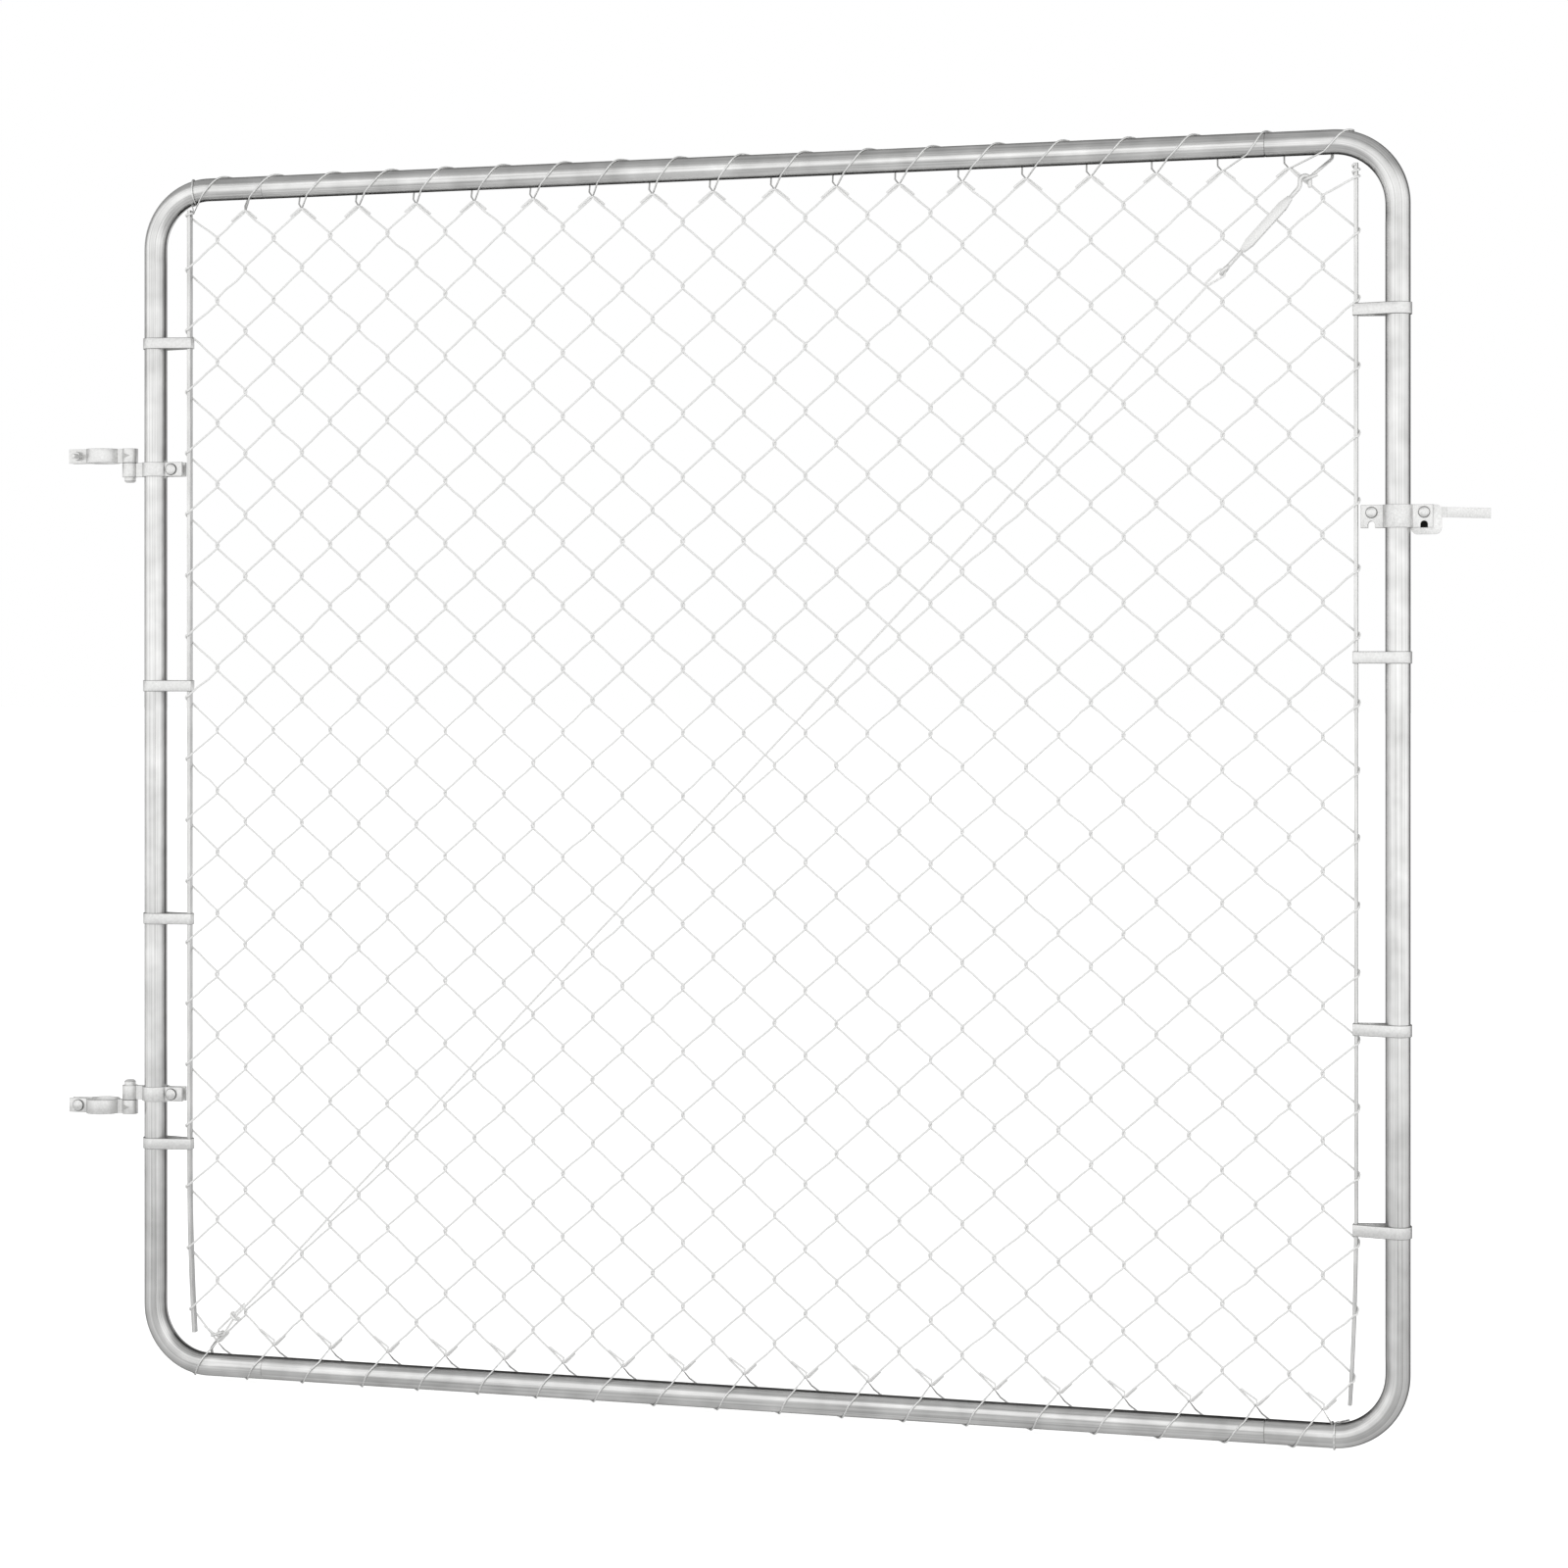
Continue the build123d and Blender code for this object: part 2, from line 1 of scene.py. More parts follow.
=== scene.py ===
import math
import random
import bmesh
import bpy
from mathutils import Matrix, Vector


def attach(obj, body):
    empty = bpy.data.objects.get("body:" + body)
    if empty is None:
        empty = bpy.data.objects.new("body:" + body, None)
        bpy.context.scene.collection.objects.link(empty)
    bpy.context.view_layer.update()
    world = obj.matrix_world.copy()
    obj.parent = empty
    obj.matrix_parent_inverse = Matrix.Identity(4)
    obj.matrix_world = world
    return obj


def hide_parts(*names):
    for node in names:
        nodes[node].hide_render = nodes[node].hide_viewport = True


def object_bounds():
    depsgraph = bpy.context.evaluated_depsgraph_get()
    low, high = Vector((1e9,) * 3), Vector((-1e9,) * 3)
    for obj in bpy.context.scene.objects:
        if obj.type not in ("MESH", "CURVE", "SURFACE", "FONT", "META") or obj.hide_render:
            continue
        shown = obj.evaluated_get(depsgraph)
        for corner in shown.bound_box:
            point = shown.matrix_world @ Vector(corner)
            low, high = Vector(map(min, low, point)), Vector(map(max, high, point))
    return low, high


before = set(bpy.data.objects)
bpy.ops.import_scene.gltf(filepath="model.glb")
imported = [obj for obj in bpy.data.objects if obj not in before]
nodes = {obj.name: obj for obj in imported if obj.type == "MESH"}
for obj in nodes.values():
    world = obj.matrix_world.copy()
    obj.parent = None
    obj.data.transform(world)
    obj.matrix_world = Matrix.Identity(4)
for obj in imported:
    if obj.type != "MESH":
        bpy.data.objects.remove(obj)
cad_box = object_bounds()

# Camera: level, a long lens, from the right of the gate's middle, as the gate was pictured.
# The shift sets the height of the gate in the square picture.
scene = bpy.context.scene
scene.view_settings.view_transform = "Standard"


def placed(name, data):
    """An object of its own in the scene"""
    made = bpy.data.objects.new(name, data)
    scene.collection.objects.link(made)
    return made


camera_data = bpy.data.cameras.new("camera")
camera_data.lens = 73.96
camera_data.sensor_width = 36
camera_data.shift_y = -0.0779
camera = placed("camera", camera_data)
camera.location = (2.113, -4.152, 0.640)
camera.rotation_euler = (math.radians(90), 0, math.radians(15.5))
scene.camera = camera

# Frame tubes: welded steel tube, 31.75 mm, hot-dip galvanised and drawn, which leaves long
# grey streaks. Two side tubes are bent to a C and butt against the straight rails, and the
# bender pinches the wall a little where each bend ends.
MM = 0.001
left_x = 40 * MM
right_x = 1771 * MM
bottom_z = -348 * MM
top_z = 1304 * MM
tube_radius = 15.875 * MM
bend_radius = 82 * MM
joint_reach = 168 * MM
tube_sides = 48
tube_step = 12 * MM
bend_step = math.radians(3)
end_bevel = 0.7 * MM


def add_node(tree, kind, settings=None, links=None):
    """A node with its settings, linked to sockets or to other nodes' first outputs"""
    node = tree.nodes.new(kind)
    for key, value in (settings or {}).items():
        if isinstance(key, str) and hasattr(node, key):
            setattr(node, key, value)
        else:
            node.inputs[key].default_value = value
    for key, source in (links or {}).items():
        socket = source.outputs[0] if isinstance(source, bpy.types.Node) else source
        tree.links.new(socket, node.inputs[key])
    return node


def linear(hex_colour):
    channels = [int(hex_colour[i : i + 2], 16) / 255 for i in (1, 3, 5)]
    straight = [c / 12.92 if c <= 0.04045 else ((c + 0.055) / 1.055) ** 2.4 for c in channels]
    return (*straight, 1)


def steel(name, place, light, dark, grain, metallic, roughness, bump, edge=1.0, sheared_and_shaded=None):
    """Zinc coated steel whose grain, in metres along each axis of its place, varies its grey,
    with wide clouds under it. Faces that the mesh marks take a darker grey of their own: painted
    shade along edges and on dents, on sheared edges partly their duller zinc"""
    grain_share = 0.7
    cloud_size = 40 * MM
    relief_height = 0.1 * MM
    material = bpy.data.materials.new(name)
    material.use_nodes = True
    tree = material.node_tree
    shader = tree.nodes["Principled BSDF"]
    shader.inputs["Metallic"].default_value = metallic
    shader.inputs["Specular Tint"].default_value = (edge, edge, edge, 1)
    where = add_node(tree, "ShaderNodeTexCoord")
    scale = [1 / size for size in grain]
    stretched = add_node(
        tree, "ShaderNodeMapping", {"Scale": scale}, {"Vector": where.outputs[place]}
    )
    grain_noise = add_node(
        tree,
        "ShaderNodeTexNoise",
        {"Scale": 1.0, "Detail": 5.0, "Roughness": 0.6},
        {"Vector": stretched},
    )
    cloud_noise = add_node(
        tree,
        "ShaderNodeTexNoise",
        {"Scale": 1 / cloud_size, "Detail": 2.0},
        {"Vector": where.outputs["Object"]},
    )
    cloud = add_node(
        tree, "ShaderNodeMath", {"operation": "MULTIPLY", 1: 1 - grain_share}, {0: cloud_noise}
    )
    blend = add_node(
        tree,
        "ShaderNodeMath",
        {"operation": "MULTIPLY_ADD", 1: grain_share},
        {0: grain_noise, 2: cloud},
    )
    shades = add_node(tree, "ShaderNodeValToRGB", {}, {"Fac": blend})
    for stop, spot, shade in zip(shades.color_ramp.elements, (0.32, 0.68), (dark, light)):
        stop.position = spot
        stop.color = linear(shade)
    gloss = add_node(
        tree,
        "ShaderNodeMapRange",
        {"From Min": 0.3, "From Max": 0.7, "To Min": roughness[0], "To Max": roughness[1]},
        {"Value": grain_noise},
    )
    relief = add_node(
        tree, "ShaderNodeBump", {"Strength": bump, "Distance": relief_height}, {"Height": blend}
    )
    colour = shades.outputs["Color"]
    # Painted shade: marked faces take the darker grey, which on sheared edges is partly their
    # duller zinc
    if sheared_and_shaded:
        cut = add_node(tree, "ShaderNodeAttribute", {"attribute_name": "sheared_and_shaded"})
        edge_shaded = add_node(
            tree,
            "ShaderNodeMix",
            {"data_type": "RGBA", 7: linear(sheared_and_shaded)},
            {0: cut.outputs["Fac"], 6: colour},
        )
        colour = edge_shaded.outputs[2]
    tree.links.new(colour, shader.inputs["Base Color"])
    tree.links.new(gloss.outputs["Result"], shader.inputs["Roughness"])
    tree.links.new(relief.outputs["Normal"], shader.inputs["Normal"])
    return material


def rounded(points, radii, step=math.radians(7.5)):
    """Corners of a path turned to arcs"""
    path = [Vector(points[0])]
    for before, corner, after, radius in zip(points, points[1:], points[2:], radii):
        back = (Vector(before) - Vector(corner)).normalized()
        ahead = (Vector(after) - Vector(corner)).normalized()
        half = back.angle(ahead) / 2
        centre = Vector(corner) + (back + ahead).normalized() * radius / math.sin(half)
        first = Vector(corner) + back * radius / math.tan(half) - centre
        last = Vector(corner) + ahead * radius / math.tan(half) - centre
        count = max(2, round((math.pi - 2 * half) / step))
        for i in range(count + 1):
            turn = first.normalized().slerp(last.normalized(), i / count)
            path.append(centre + turn * radius)
    path.append(Vector(points[-1]))
    return path


def divided(path, length):
    """The same path with no run longer than a length"""
    fine = [path[0]]
    for start, end in zip(path, path[1:]):
        count = max(1, math.ceil((end - start).length / length))
        fine += [start.lerp(end, i / count) for i in range(1, count + 1)]
    return fine


def stations(path):
    """Each point of a path, with the path's direction there and how far along it lies"""
    travelled = 0
    for i, point in enumerate(path):
        before = path[max(i - 1, 0)]
        after = path[min(i + 1, len(path) - 1)]
        travelled += (point - before).length
        yield point, (after - before).normalized(), travelled


def path_length(path):
    return sum((b - a).length for a, b in zip(path, path[1:]))


def mesh_of(name, vertices, faces, edges=()):
    mesh = bpy.data.meshes.new(name)
    mesh.from_pydata(vertices, edges, faces)
    return mesh


def smoothed(mesh, angle=35):
    """The mesh with smooth shading, but for edges sharper than an angle in degrees"""
    mesh.polygons.foreach_set("use_smooth", [True] * len(mesh.polygons))
    mesh.set_sharp_from_angle(angle=math.radians(angle))
    return mesh


def ring_faces(rows, count):
    """Faces between rows of points that go round a bar, and then those of its two ends"""
    faces = []
    for i in range(rows - 1):
        for j in range(count):
            k = (j + 1) % count
            faces.append((i * count + j, i * count + k, (i + 1) * count + k, (i + 1) * count + j))
    return faces + [list(range(count))[::-1], [(rows - 1) * count + j for j in range(count)]]


def bar_mesh(name, path, radius_at, sides):
    """Closed round bar along a path. Its map runs round it and along it, in metres"""
    vertices = []
    distances = []
    normal = None
    for point, tangent, travelled in stations(path):
        if normal is None:
            back = Vector((0, 1, 0))
            normal = back if abs(tangent.y) < 0.9 else Vector((1, 0, 0))
        normal = (normal - tangent * normal.dot(tangent)).normalized()
        across = tangent.cross(normal)
        distances.append(travelled)
        for j in range(sides):
            angle = 2 * math.pi * j / sides
            spoke = normal * math.cos(angle) + across * math.sin(angle)
            vertices.append(point + spoke * radius_at(travelled, angle))
    faces = ring_faces(len(path), sides)
    spots = []
    for i in range(len(path) - 1):
        spots += [[(j, i), (j + 1, i), (j + 1, i + 1), (j, i + 1)] for j in range(sides)]
    for ring, row in ((faces[-2], 0), (faces[-1], len(path) - 1)):
        spots.append([(j, row) for j in ring])
    mesh = mesh_of(name, vertices, faces)
    layer = mesh.uv_layers.new(name="wrap")
    girth = 2 * math.pi * radius_at(travelled / 2, 0) / sides
    flat = [(j % (sides + 1) * girth, distances[i]) for corners in spots for j, i in corners]
    for loop, spot in zip(layer.data, flat):
        loop.uv = spot
    return smoothed(mesh)


def piece(name, mesh, material, body, replaced):
    mesh.materials.clear()
    mesh.materials.append(material)
    made = placed(name, mesh)
    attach(made, body)
    if replaced:
        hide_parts(*replaced)
    return made


def ended(length, radius):
    """The radius of a bar, from a rule on how far the nearer of its ends is"""
    return lambda travelled, angle: radius(min(travelled, length - travelled), angle)


def tube_mesh(name, points, radii):
    """A tube with its corners bent and its ends bevelled"""
    path = divided(rounded(points, radii, bend_step), tube_step)
    start = path[0] + (path[1] - path[0]).normalized() * end_bevel
    end = path[-1] + (path[-2] - path[-1]).normalized() * end_bevel
    path = [path[0], start] + path[1:-1] + [end, path[-1]]
    radius = ended(path_length(path), lambda end, angle: tube_radius - max(0, end_bevel - end))
    return bar_mesh(name, path, radius, tube_sides)


# Drawn zinc: soft, dim highlights with streaks 2.6 mm wide and 600 mm long
streaks = (2.6 * MM, 600 * MM, 1)
tube_gloss = (0.26, 0.42)
tube_steel = steel(
    "galvanised steel tube, drawn", "UV", "#F0F0EF", "#ACACAB", streaks, 1.0, tube_gloss, 0.3, 0.45
)
dent_depth = 1.5 * MM
dent_size = 7 * MM
# Where the dents lie: two shares of the tube's radius, and the way past the bend
inner_dent = (0.8, -0.6, 8 * MM)
front_dent = (0.4, -0.85, 4 * MM)


def press(mesh, spots):
    """Dents pressed into a mesh at some spots, each with the way that it is pressed"""
    for spot, way in spots:
        for vertex in mesh.vertices:
            near = (vertex.co - Vector(spot)).length / dent_size
            if near < 3:
                vertex.co += Vector(way) * dent_depth * math.exp(-near * near)


for side, x, inward in (("left", left_x, 1), ("right", right_x, -1)):
    stub_x = x + inward * joint_reach
    corners = [(stub_x, 0, bottom_z), (x, 0, bottom_z), (x, 0, top_z), (stub_x, 0, top_z)]
    mesh = tube_mesh(side + "_side_tube", corners, [bend_radius, bend_radius])
    spots = []
    for z, way in ((bottom_z, 1), (top_z, -1)):
        share, out, past = inner_dent
        dent_z = z + way * (bend_radius + past)
        spot = (x + inward * tube_radius * share, tube_radius * out, dent_z)
        spots.append((spot, (-inward, 0, 0)))
        share, out, past = front_dent
        dent_x = x + inward * (bend_radius + past)
        spots.append(((dent_x, tube_radius * out, z + way * tube_radius * share), (0, 1, 0)))
    press(mesh, spots)
    piece(side + "_side_tube", mesh, tube_steel, "leaf", [side + "_frame_tube"])

for level, z in (("top", top_z), ("bottom", bottom_z)):
    ends = [(left_x + joint_reach, 0, z), (right_x - joint_reach, 0, z)]
    mesh = tube_mesh(level + "_cross_tube", ends, [])
    piece(level + "_cross_tube", mesh, tube_steel, "leaf", [level + "_rail"])

# Tension bars: flat galvanised steel bar, 4.8 by 9.5 mm, slid through the last wire of the
# fabric. Below the lowest band nothing holds them, and each leans a little into the gate.
# The left one ends a little higher.
bar_inset = 52.5 * MM
bar_thickness = 4.8 * MM
bar_width = 9.5 * MM
bar_low_z = bottom_z + 40.075 * MM
bar_high_z = top_z - 27.975 * MM
left_bar_rise = 4 * MM
bar_lean = 8 * MM
bar_lean_start = bottom_z + 290 * MM
bar_edge = 0.8 * MM
bar_levels = 60


def bar_centre(inward, z):
    tube_x = left_x if inward == 1 else right_x
    share = max(0, (bar_lean_start - z) / (bar_lean_start - bar_low_z))
    return tube_x + inward * (bar_inset + bar_lean * share * share)


def flat_bar_mesh(name, inward):
    low_z = bar_low_z + (left_bar_rise if inward == 1 else 0)
    levels = [low_z + (bar_high_z - low_z) * i / bar_levels for i in range(bar_levels + 1)]
    flat_x, flat_y = bar_thickness / 2 - bar_edge, bar_width / 2 - bar_edge
    section = []
    for turn, (sign_x, sign_y) in enumerate(((1, 1), (-1, 1), (-1, -1), (1, -1))):
        for step in range(4):
            angle = math.pi / 2 * (turn + step / 3)
            x = sign_x * flat_x + bar_edge * math.cos(angle)
            section.append((x, sign_y * flat_y + bar_edge * math.sin(angle)))
    vertices = [(bar_centre(inward, z) + x, y, z) for z in levels for x, y in section]
    return smoothed(mesh_of(name, vertices, ring_faces(len(levels), len(section))))


# Rolled flat bar with thick zinc: a dull, even grey with faint marks along it
marks = (2 * MM, 2 * MM, 60 * MM)
bar_steel = steel(
    "galvanised flat steel bar", "Object", "#E4E4E3", "#BDBDBC", marks, 0.8, (0.3, 0.5), 0.3, 0.5
)
for side, inward in (("left", 1), ("right", -1)):
    mesh = flat_bar_mesh(side + "_flat_bar", inward)
    piece(side + "_flat_bar", mesh, bar_steel, "leaf", [side + "_tension_bar"])

# Chain link fabric: 38 upright zigzag wires of 2.9 mm steel, galvanised before weaving. Each
# is wound flat, rising in front and behind by turns, and hooks round its neighbour at each
# turn. The last wire on each side goes round the tension bar, and at the top and bottom
# neighbours are knuckled: each end is bent back over the other.
wire_radius = 1.45 * MM
wire_sides = 8
wire_count = 38
node_rows = 36
first_row_z = top_z - 71.5 * MM
last_row_z = bottom_z + 74.5 * MM
top_knuckle_z = top_z - tube_radius - 18 * MM
bottom_knuckle_z = bottom_z + tube_radius + 18.6 * MM
fabric_left = left_x + bar_inset + bar_thickness / 2 + 0.2 * MM
fabric_right = right_x - bar_inset - bar_thickness / 2 - 0.2 * MM
half_pitch = (fabric_right - fabric_left) / wire_count
row_pitch = (first_row_z - last_row_z) / (node_rows - 1)
column_stretch = 1.004
turn_overlap = 1.5 * MM
turn_width = 1.4 * MM
turn_depth = 2.1 * MM
turn_rise = 3.3 * MM
bar_wrap_x = bar_thickness / 2 + wire_radius + 0.25 * MM
bar_wrap_y = bar_width / 2 + wire_radius + 0.15 * MM
bar_turn_rise = 4.5 * MM
wound_start = 4 * MM
wound_fall = 8.5 * MM
wound_steps = 18
# Knuckles: a tail's length, how far it lies from its neighbour's end at first, and how much
# nearer it ends. Those at the bottom differ by the side that the wire comes from
knuckle_bow = 2.4 * MM
tail_start = 2 * MM
top_tails = (16 * MM, 21 * MM)
top_apart = (3.6 * MM, -0.8 * MM)
bottom_tails = {-1: 25 * MM, 1: 18 * MM}
bottom_apart = {-1: (5.0 * MM, 4.0 * MM), 1: (4.2 * MM, 0.6 * MM)}
# How unevenly the wires are woven: turns across and up, and the bow of the straight runs
uneven_x = 0.25 * MM
uneven_z = 0.35 * MM
wave = 0.45 * MM
drift = random.Random(7)


def column_x(column):
    """Place of a column. The half diamonds beside the tension bars are drawn narrower"""
    if column in (0, wire_count):
        return fabric_left + column * half_pitch
    middle = (fabric_left + fabric_right) / 2
    return middle + (column - wire_count / 2) * half_pitch * column_stretch


def node_turn(x, z, towards):
    """Half a turn about a neighbour, going down. A right turn comes from behind"""
    points = []
    for step in range(7):
        angle = math.pi / 2 - math.pi * step / 6
        reach = turn_overlap - turn_width + turn_width * math.cos(angle)
        depth = turn_depth * math.sin(angle)
        rise = turn_rise * math.sin(angle)
        points.append(Vector((x + towards * reach, towards * depth, z + rise)))
    return points


def round_bar_spot(towards, angle, bar_z, z):
    """Where a wire that is wound tightly round the tension bar's four edges lies"""
    reach_x, reach_y = [
        math.copysign(abs(part) ** 0.5, part) for part in (math.cos(angle), math.sin(angle))
    ]
    x = bar_centre(-towards, bar_z) + towards * reach_x * bar_wrap_x
    return Vector((x, towards * reach_y * bar_wrap_y, z))


def bar_turn(z, towards):
    """A turn round a tension bar, going down"""
    angles = [math.pi / 2 - math.pi * step / 8 for step in range(9)]
    return [round_bar_spot(towards, a, z, z + bar_turn_rise * math.sin(a)) for a in angles]


def bar_end(towards):
    """The top end of the first or last wire, wound round the tension bar"""
    points = []
    turns = 2 if towards == 1 else 1
    for step in range(wound_steps * turns + 1):
        angle = math.radians(360 * turns - 90 - 360 / wound_steps * step)
        z = top_knuckle_z + wound_start - wound_fall * step / wound_steps
        points.append(round_bar_spot(towards, angle, z, z))
    return points


def knuckle(column, towards, upward):
    """The end of a wire, hooked over its neighbour's end and bent back beside it"""
    x = column_x(column)
    if upward == 1:
        z = top_knuckle_z
        first_step = top_knuckle_z - first_row_z
        tail = top_tails[(column // 2 + (towards + 1) // 2) % 2]
        apart, closing = top_apart
    else:
        z = bottom_knuckle_z
        first_step = last_row_z - bottom_knuckle_z
        tail = bottom_tails[towards]
        apart, closing = bottom_apart[towards]
    slope = math.atan2(first_step, half_pitch)
    over = wire_radius * 1.2 * towards
    along = Vector((math.cos(slope) * towards, 0, -math.sin(slope) * upward))
    beside = Vector((math.sin(slope) * towards * upward, 0, math.cos(slope)))
    if upward == -1 and towards == 1:
        beside = -beside
    top = Vector((x, over, z + upward * knuckle_bow))
    root = Vector((x, over, z)) + beside * apart
    points = [
        top + Vector((-towards * knuckle_bow * 1.5, 0, -upward * knuckle_bow * 1.4)),
        top + Vector((-towards * knuckle_bow * 0.4, 0, 0)),
        root + along * tail_start,
        root + along * (tail_start + tail * 0.5) - beside * closing * 0.5,
        root + along * (tail_start + tail) - beside * closing,
    ]
    return points if upward == -1 else points[::-1]


def fabric_wire(wire):
    """Points of one wire from its top knuckle to its bottom knuckle"""
    turns = []
    rows = [top_knuckle_z] + [first_row_z - r * row_pitch for r in range(node_rows)]
    rows.append(bottom_knuckle_z)
    for row, z in enumerate(rows):
        towards = -1 if (row + wire) % 2 == 0 else 1
        column = wire + (towards + 1) // 2
        if row == 0 and column in (0, wire_count):
            turns.append(bar_end(towards))
        elif row in (0, node_rows + 1):
            turns.append(knuckle(column, towards, 1 if row == 0 else -1))
        elif column in (0, wire_count):
            turns.append(bar_turn(z, towards))
        else:
            x = column_x(column) + drift.gauss(0, uneven_x)
            turns.append(node_turn(x, z + drift.gauss(0, uneven_z), towards))
    points = list(turns[0])
    for before, after in zip(turns, turns[1:]):
        start, end = before[-1], after[0]
        bulge = Vector((drift.gauss(0, 1), 0, drift.gauss(0, 1))) * wave
        points.append(start.lerp(end, 0.3) + bulge)
        points.append(start.lerp(end, 0.66) - bulge * 0.7)
        points += after
    return points


def line_mesh(name, lines):
    vertices = []
    edges = []
    for line in lines:
        first = len(vertices)
        vertices += line
        edges += [(first + i, first + i + 1) for i in range(len(line) - 1)]
    return mesh_of(name, vertices, [], edges)


def new_tree(name, inputs, output):
    """A geometry tree with named inputs, and what its input node gives"""
    tree = bpy.data.node_groups.new(name, "GeometryNodeTree")
    for label, kind in inputs.items():
        tree.interface.new_socket(label, in_out="INPUT", socket_type="NodeSocket" + kind)
    tree.interface.new_socket(output, in_out="OUTPUT", socket_type="NodeSocketGeometry")
    return tree, add_node(tree, "NodeGroupInput").outputs


def end_tree(tree, geometry, finish, output):
    """The end of each tree: its copies are made real and get their material"""
    real = add_node(tree, "GeometryNodeRealizeInstances", {}, {"Geometry": geometry})
    coat = add_node(tree, "GeometryNodeSetMaterial", {}, {"Geometry": real, "Material": finish})
    add_node(tree, "NodeGroupOutput", {}, {output: coat})
    return tree


def wire_tree():
    """Turns lines into round wires of one thickness"""
    inputs = {"Line": "Geometry", "Wire radius": "Float", "Sides": "Int", "Finish": "Material"}
    tree, given = new_tree("round wire", inputs, "Wire")
    curve = add_node(tree, "GeometryNodeMeshToCurve", {}, {"Mesh": given["Line"]})
    section = add_node(
        tree,
        "GeometryNodeCurvePrimitiveCircle",
        {},
        {"Resolution": given["Sides"], "Radius": given["Wire radius"]},
    )
    wire = add_node(
        tree,
        "GeometryNodeCurveToMesh",
        {"Fill Caps": True},
        {"Curve": curve, "Profile Curve": section},
    )
    smooth = add_node(tree, "GeometryNodeSetShadeSmooth", {}, {"Geometry": wire})
    return end_tree(tree, smooth, given["Finish"], "Wire")


def made_by(tree, name, mesh, values):
    """The plain mesh that a node tree makes of a mesh, on an object of its own"""
    made = placed(name, mesh)
    modifier = made.modifiers.new("shape", "NODES")
    modifier.node_group = tree
    for item in tree.interface.items_tree:
        if item.name in values:
            modifier[item.identifier] = values[item.name]
    evaluated = made.evaluated_get(bpy.context.evaluated_depsgraph_get())
    plain = bpy.data.meshes.new_from_object(evaluated)
    made.modifiers.remove(modifier)
    made.data = plain
    return made


def wires(name, lines, radius, sides, finish, replaced):
    values = {"Wire radius": radius, "Sides": sides, "Finish": finish}
    made = made_by(round_wire, name, line_mesh(name, lines), values)
    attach(made, "leaf")
    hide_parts(*replaced)


round_wire = wire_tree()
# Bright zinc on thin wire: pale and even, with no streaks and no sharp highlights
fine = (3 * MM, 3 * MM, 3 * MM)
fabric_steel = steel(
    "galvanised steel wire, bright", "Object", "#F5F5F4", "#E9E9E8", fine, 0.0, (0.5, 0.65), 0.2
)
fabric_halves = (("left", 0, wire_count // 2), ("right", wire_count // 2, wire_count))
for side, first, end in fabric_halves:
    lines = [fabric_wire(wire) for wire in range(first, end)]
    replaced = [side + "_fabric"]
    wires(side + "_weave", lines, wire_radius, wire_sides, fabric_steel, replaced)

# Tie wires: one soft galvanised wire of 2.4 mm wound along each rail, once for each diamond.
# It passes through every knuckle, goes up in front and comes back down behind.
tie_radius = 1.2 * MM
tie_sides = 10
tie_wind = tube_radius + tie_radius + 0.15 * MM
tie_seat = 1.9 * MM
tie_steps = 20
ring_steps = 44
# Where on its turn, in degrees, the wire leaves a knuckle, comes back to it, and ends
tie_leaves, tie_comes, tie_ends = 40, 320, 215
tie_slack = Vector((-2.6, 0, -2.2)) * MM
bottom_slack = 0.5


def bend_sag(x):
    overrun = max(left_x + bend_radius - x, x - right_x + bend_radius, 0)
    return bend_radius - math.sqrt(bend_radius**2 - overrun**2)


def spread(angle, marks):
    """Value between marks of angle and value"""
    for (a, low), (b, high) in zip(marks, marks[1:]):
        if a <= angle <= b:
            return low + (high - low) * (angle - a) / (b - a)
    return marks[-1][1]


def tie_turn(x, z, side, marks, first, last, steps=tie_steps):
    """Part of a turn round a rail. The angle starts at the fabric and rises to the front"""
    points = []
    for step in range(steps + 1):
        angle = first + (last - first) * step / steps
        place = x + spread(angle, marks) * MM
        past = max(left_x + bend_radius - place, 0) - max(place - right_x + bend_radius, 0)
        slope = math.asin(past / bend_radius)
        outward = Vector((-math.sin(slope), 0, side * math.cos(slope)))
        turn = math.radians(angle)
        centre = Vector((place, -tie_wind * math.sin(turn), z - side * bend_sag(place)))
        points.append(centre - outward * tie_wind * math.cos(turn))
    return points


def lead_marks(low, high, back):
    """Where a turn stands, in mm from its knuckle: leaving the fabric, in front, on the far
    side, and coming back behind"""
    middle = low + (high - low) * 0.43
    return [(40, low), (90, middle), (180, high), (225, high + (back - high) * 0.5), (320, back)]


def tie_line(z, knuckle_z, columns, leads, back):
    side = 1 if knuckle_z < z else -1
    points = []
    for column, (low, high) in zip(columns, leads):
        x = max(column_x(column), left_x + bar_inset + 6 * MM)
        knot = Vector((x, 0, knuckle_z + side * tie_seat))
        if points:
            slack = tie_slack * (1 if side == 1 else bottom_slack)
            points.append(points[-1].lerp(knot, 0.45) + slack)
        points.append(knot)
        last = tie_ends if column == columns[-1] else tie_comes
        points += tie_turn(x, z, side, lead_marks(low, high, back), tie_leaves, last)
    return points


# Each turn's lead, in mm along the rail from its knuckle, in front and on the far side
top_leads = [(14, 50), (12, 50), (13, 52), (14, 52), (12, 46), (12, 44), (15, 48), (11, 42)]
top_leads += [(11, 40), (12, 42), (13, 44), (14, 46), (15, 48), (16, 50), (17, 51), (18, 52)]
top_leads += [(17, 51), (33, 58), (45, 77)]
top_back = 78
bottom_leads = [(-13 - drift.random() * 4, -36 - drift.random() * 7) for _ in range(18)]
bottom_leads += [(-15, -30)]
bottom_back = -70

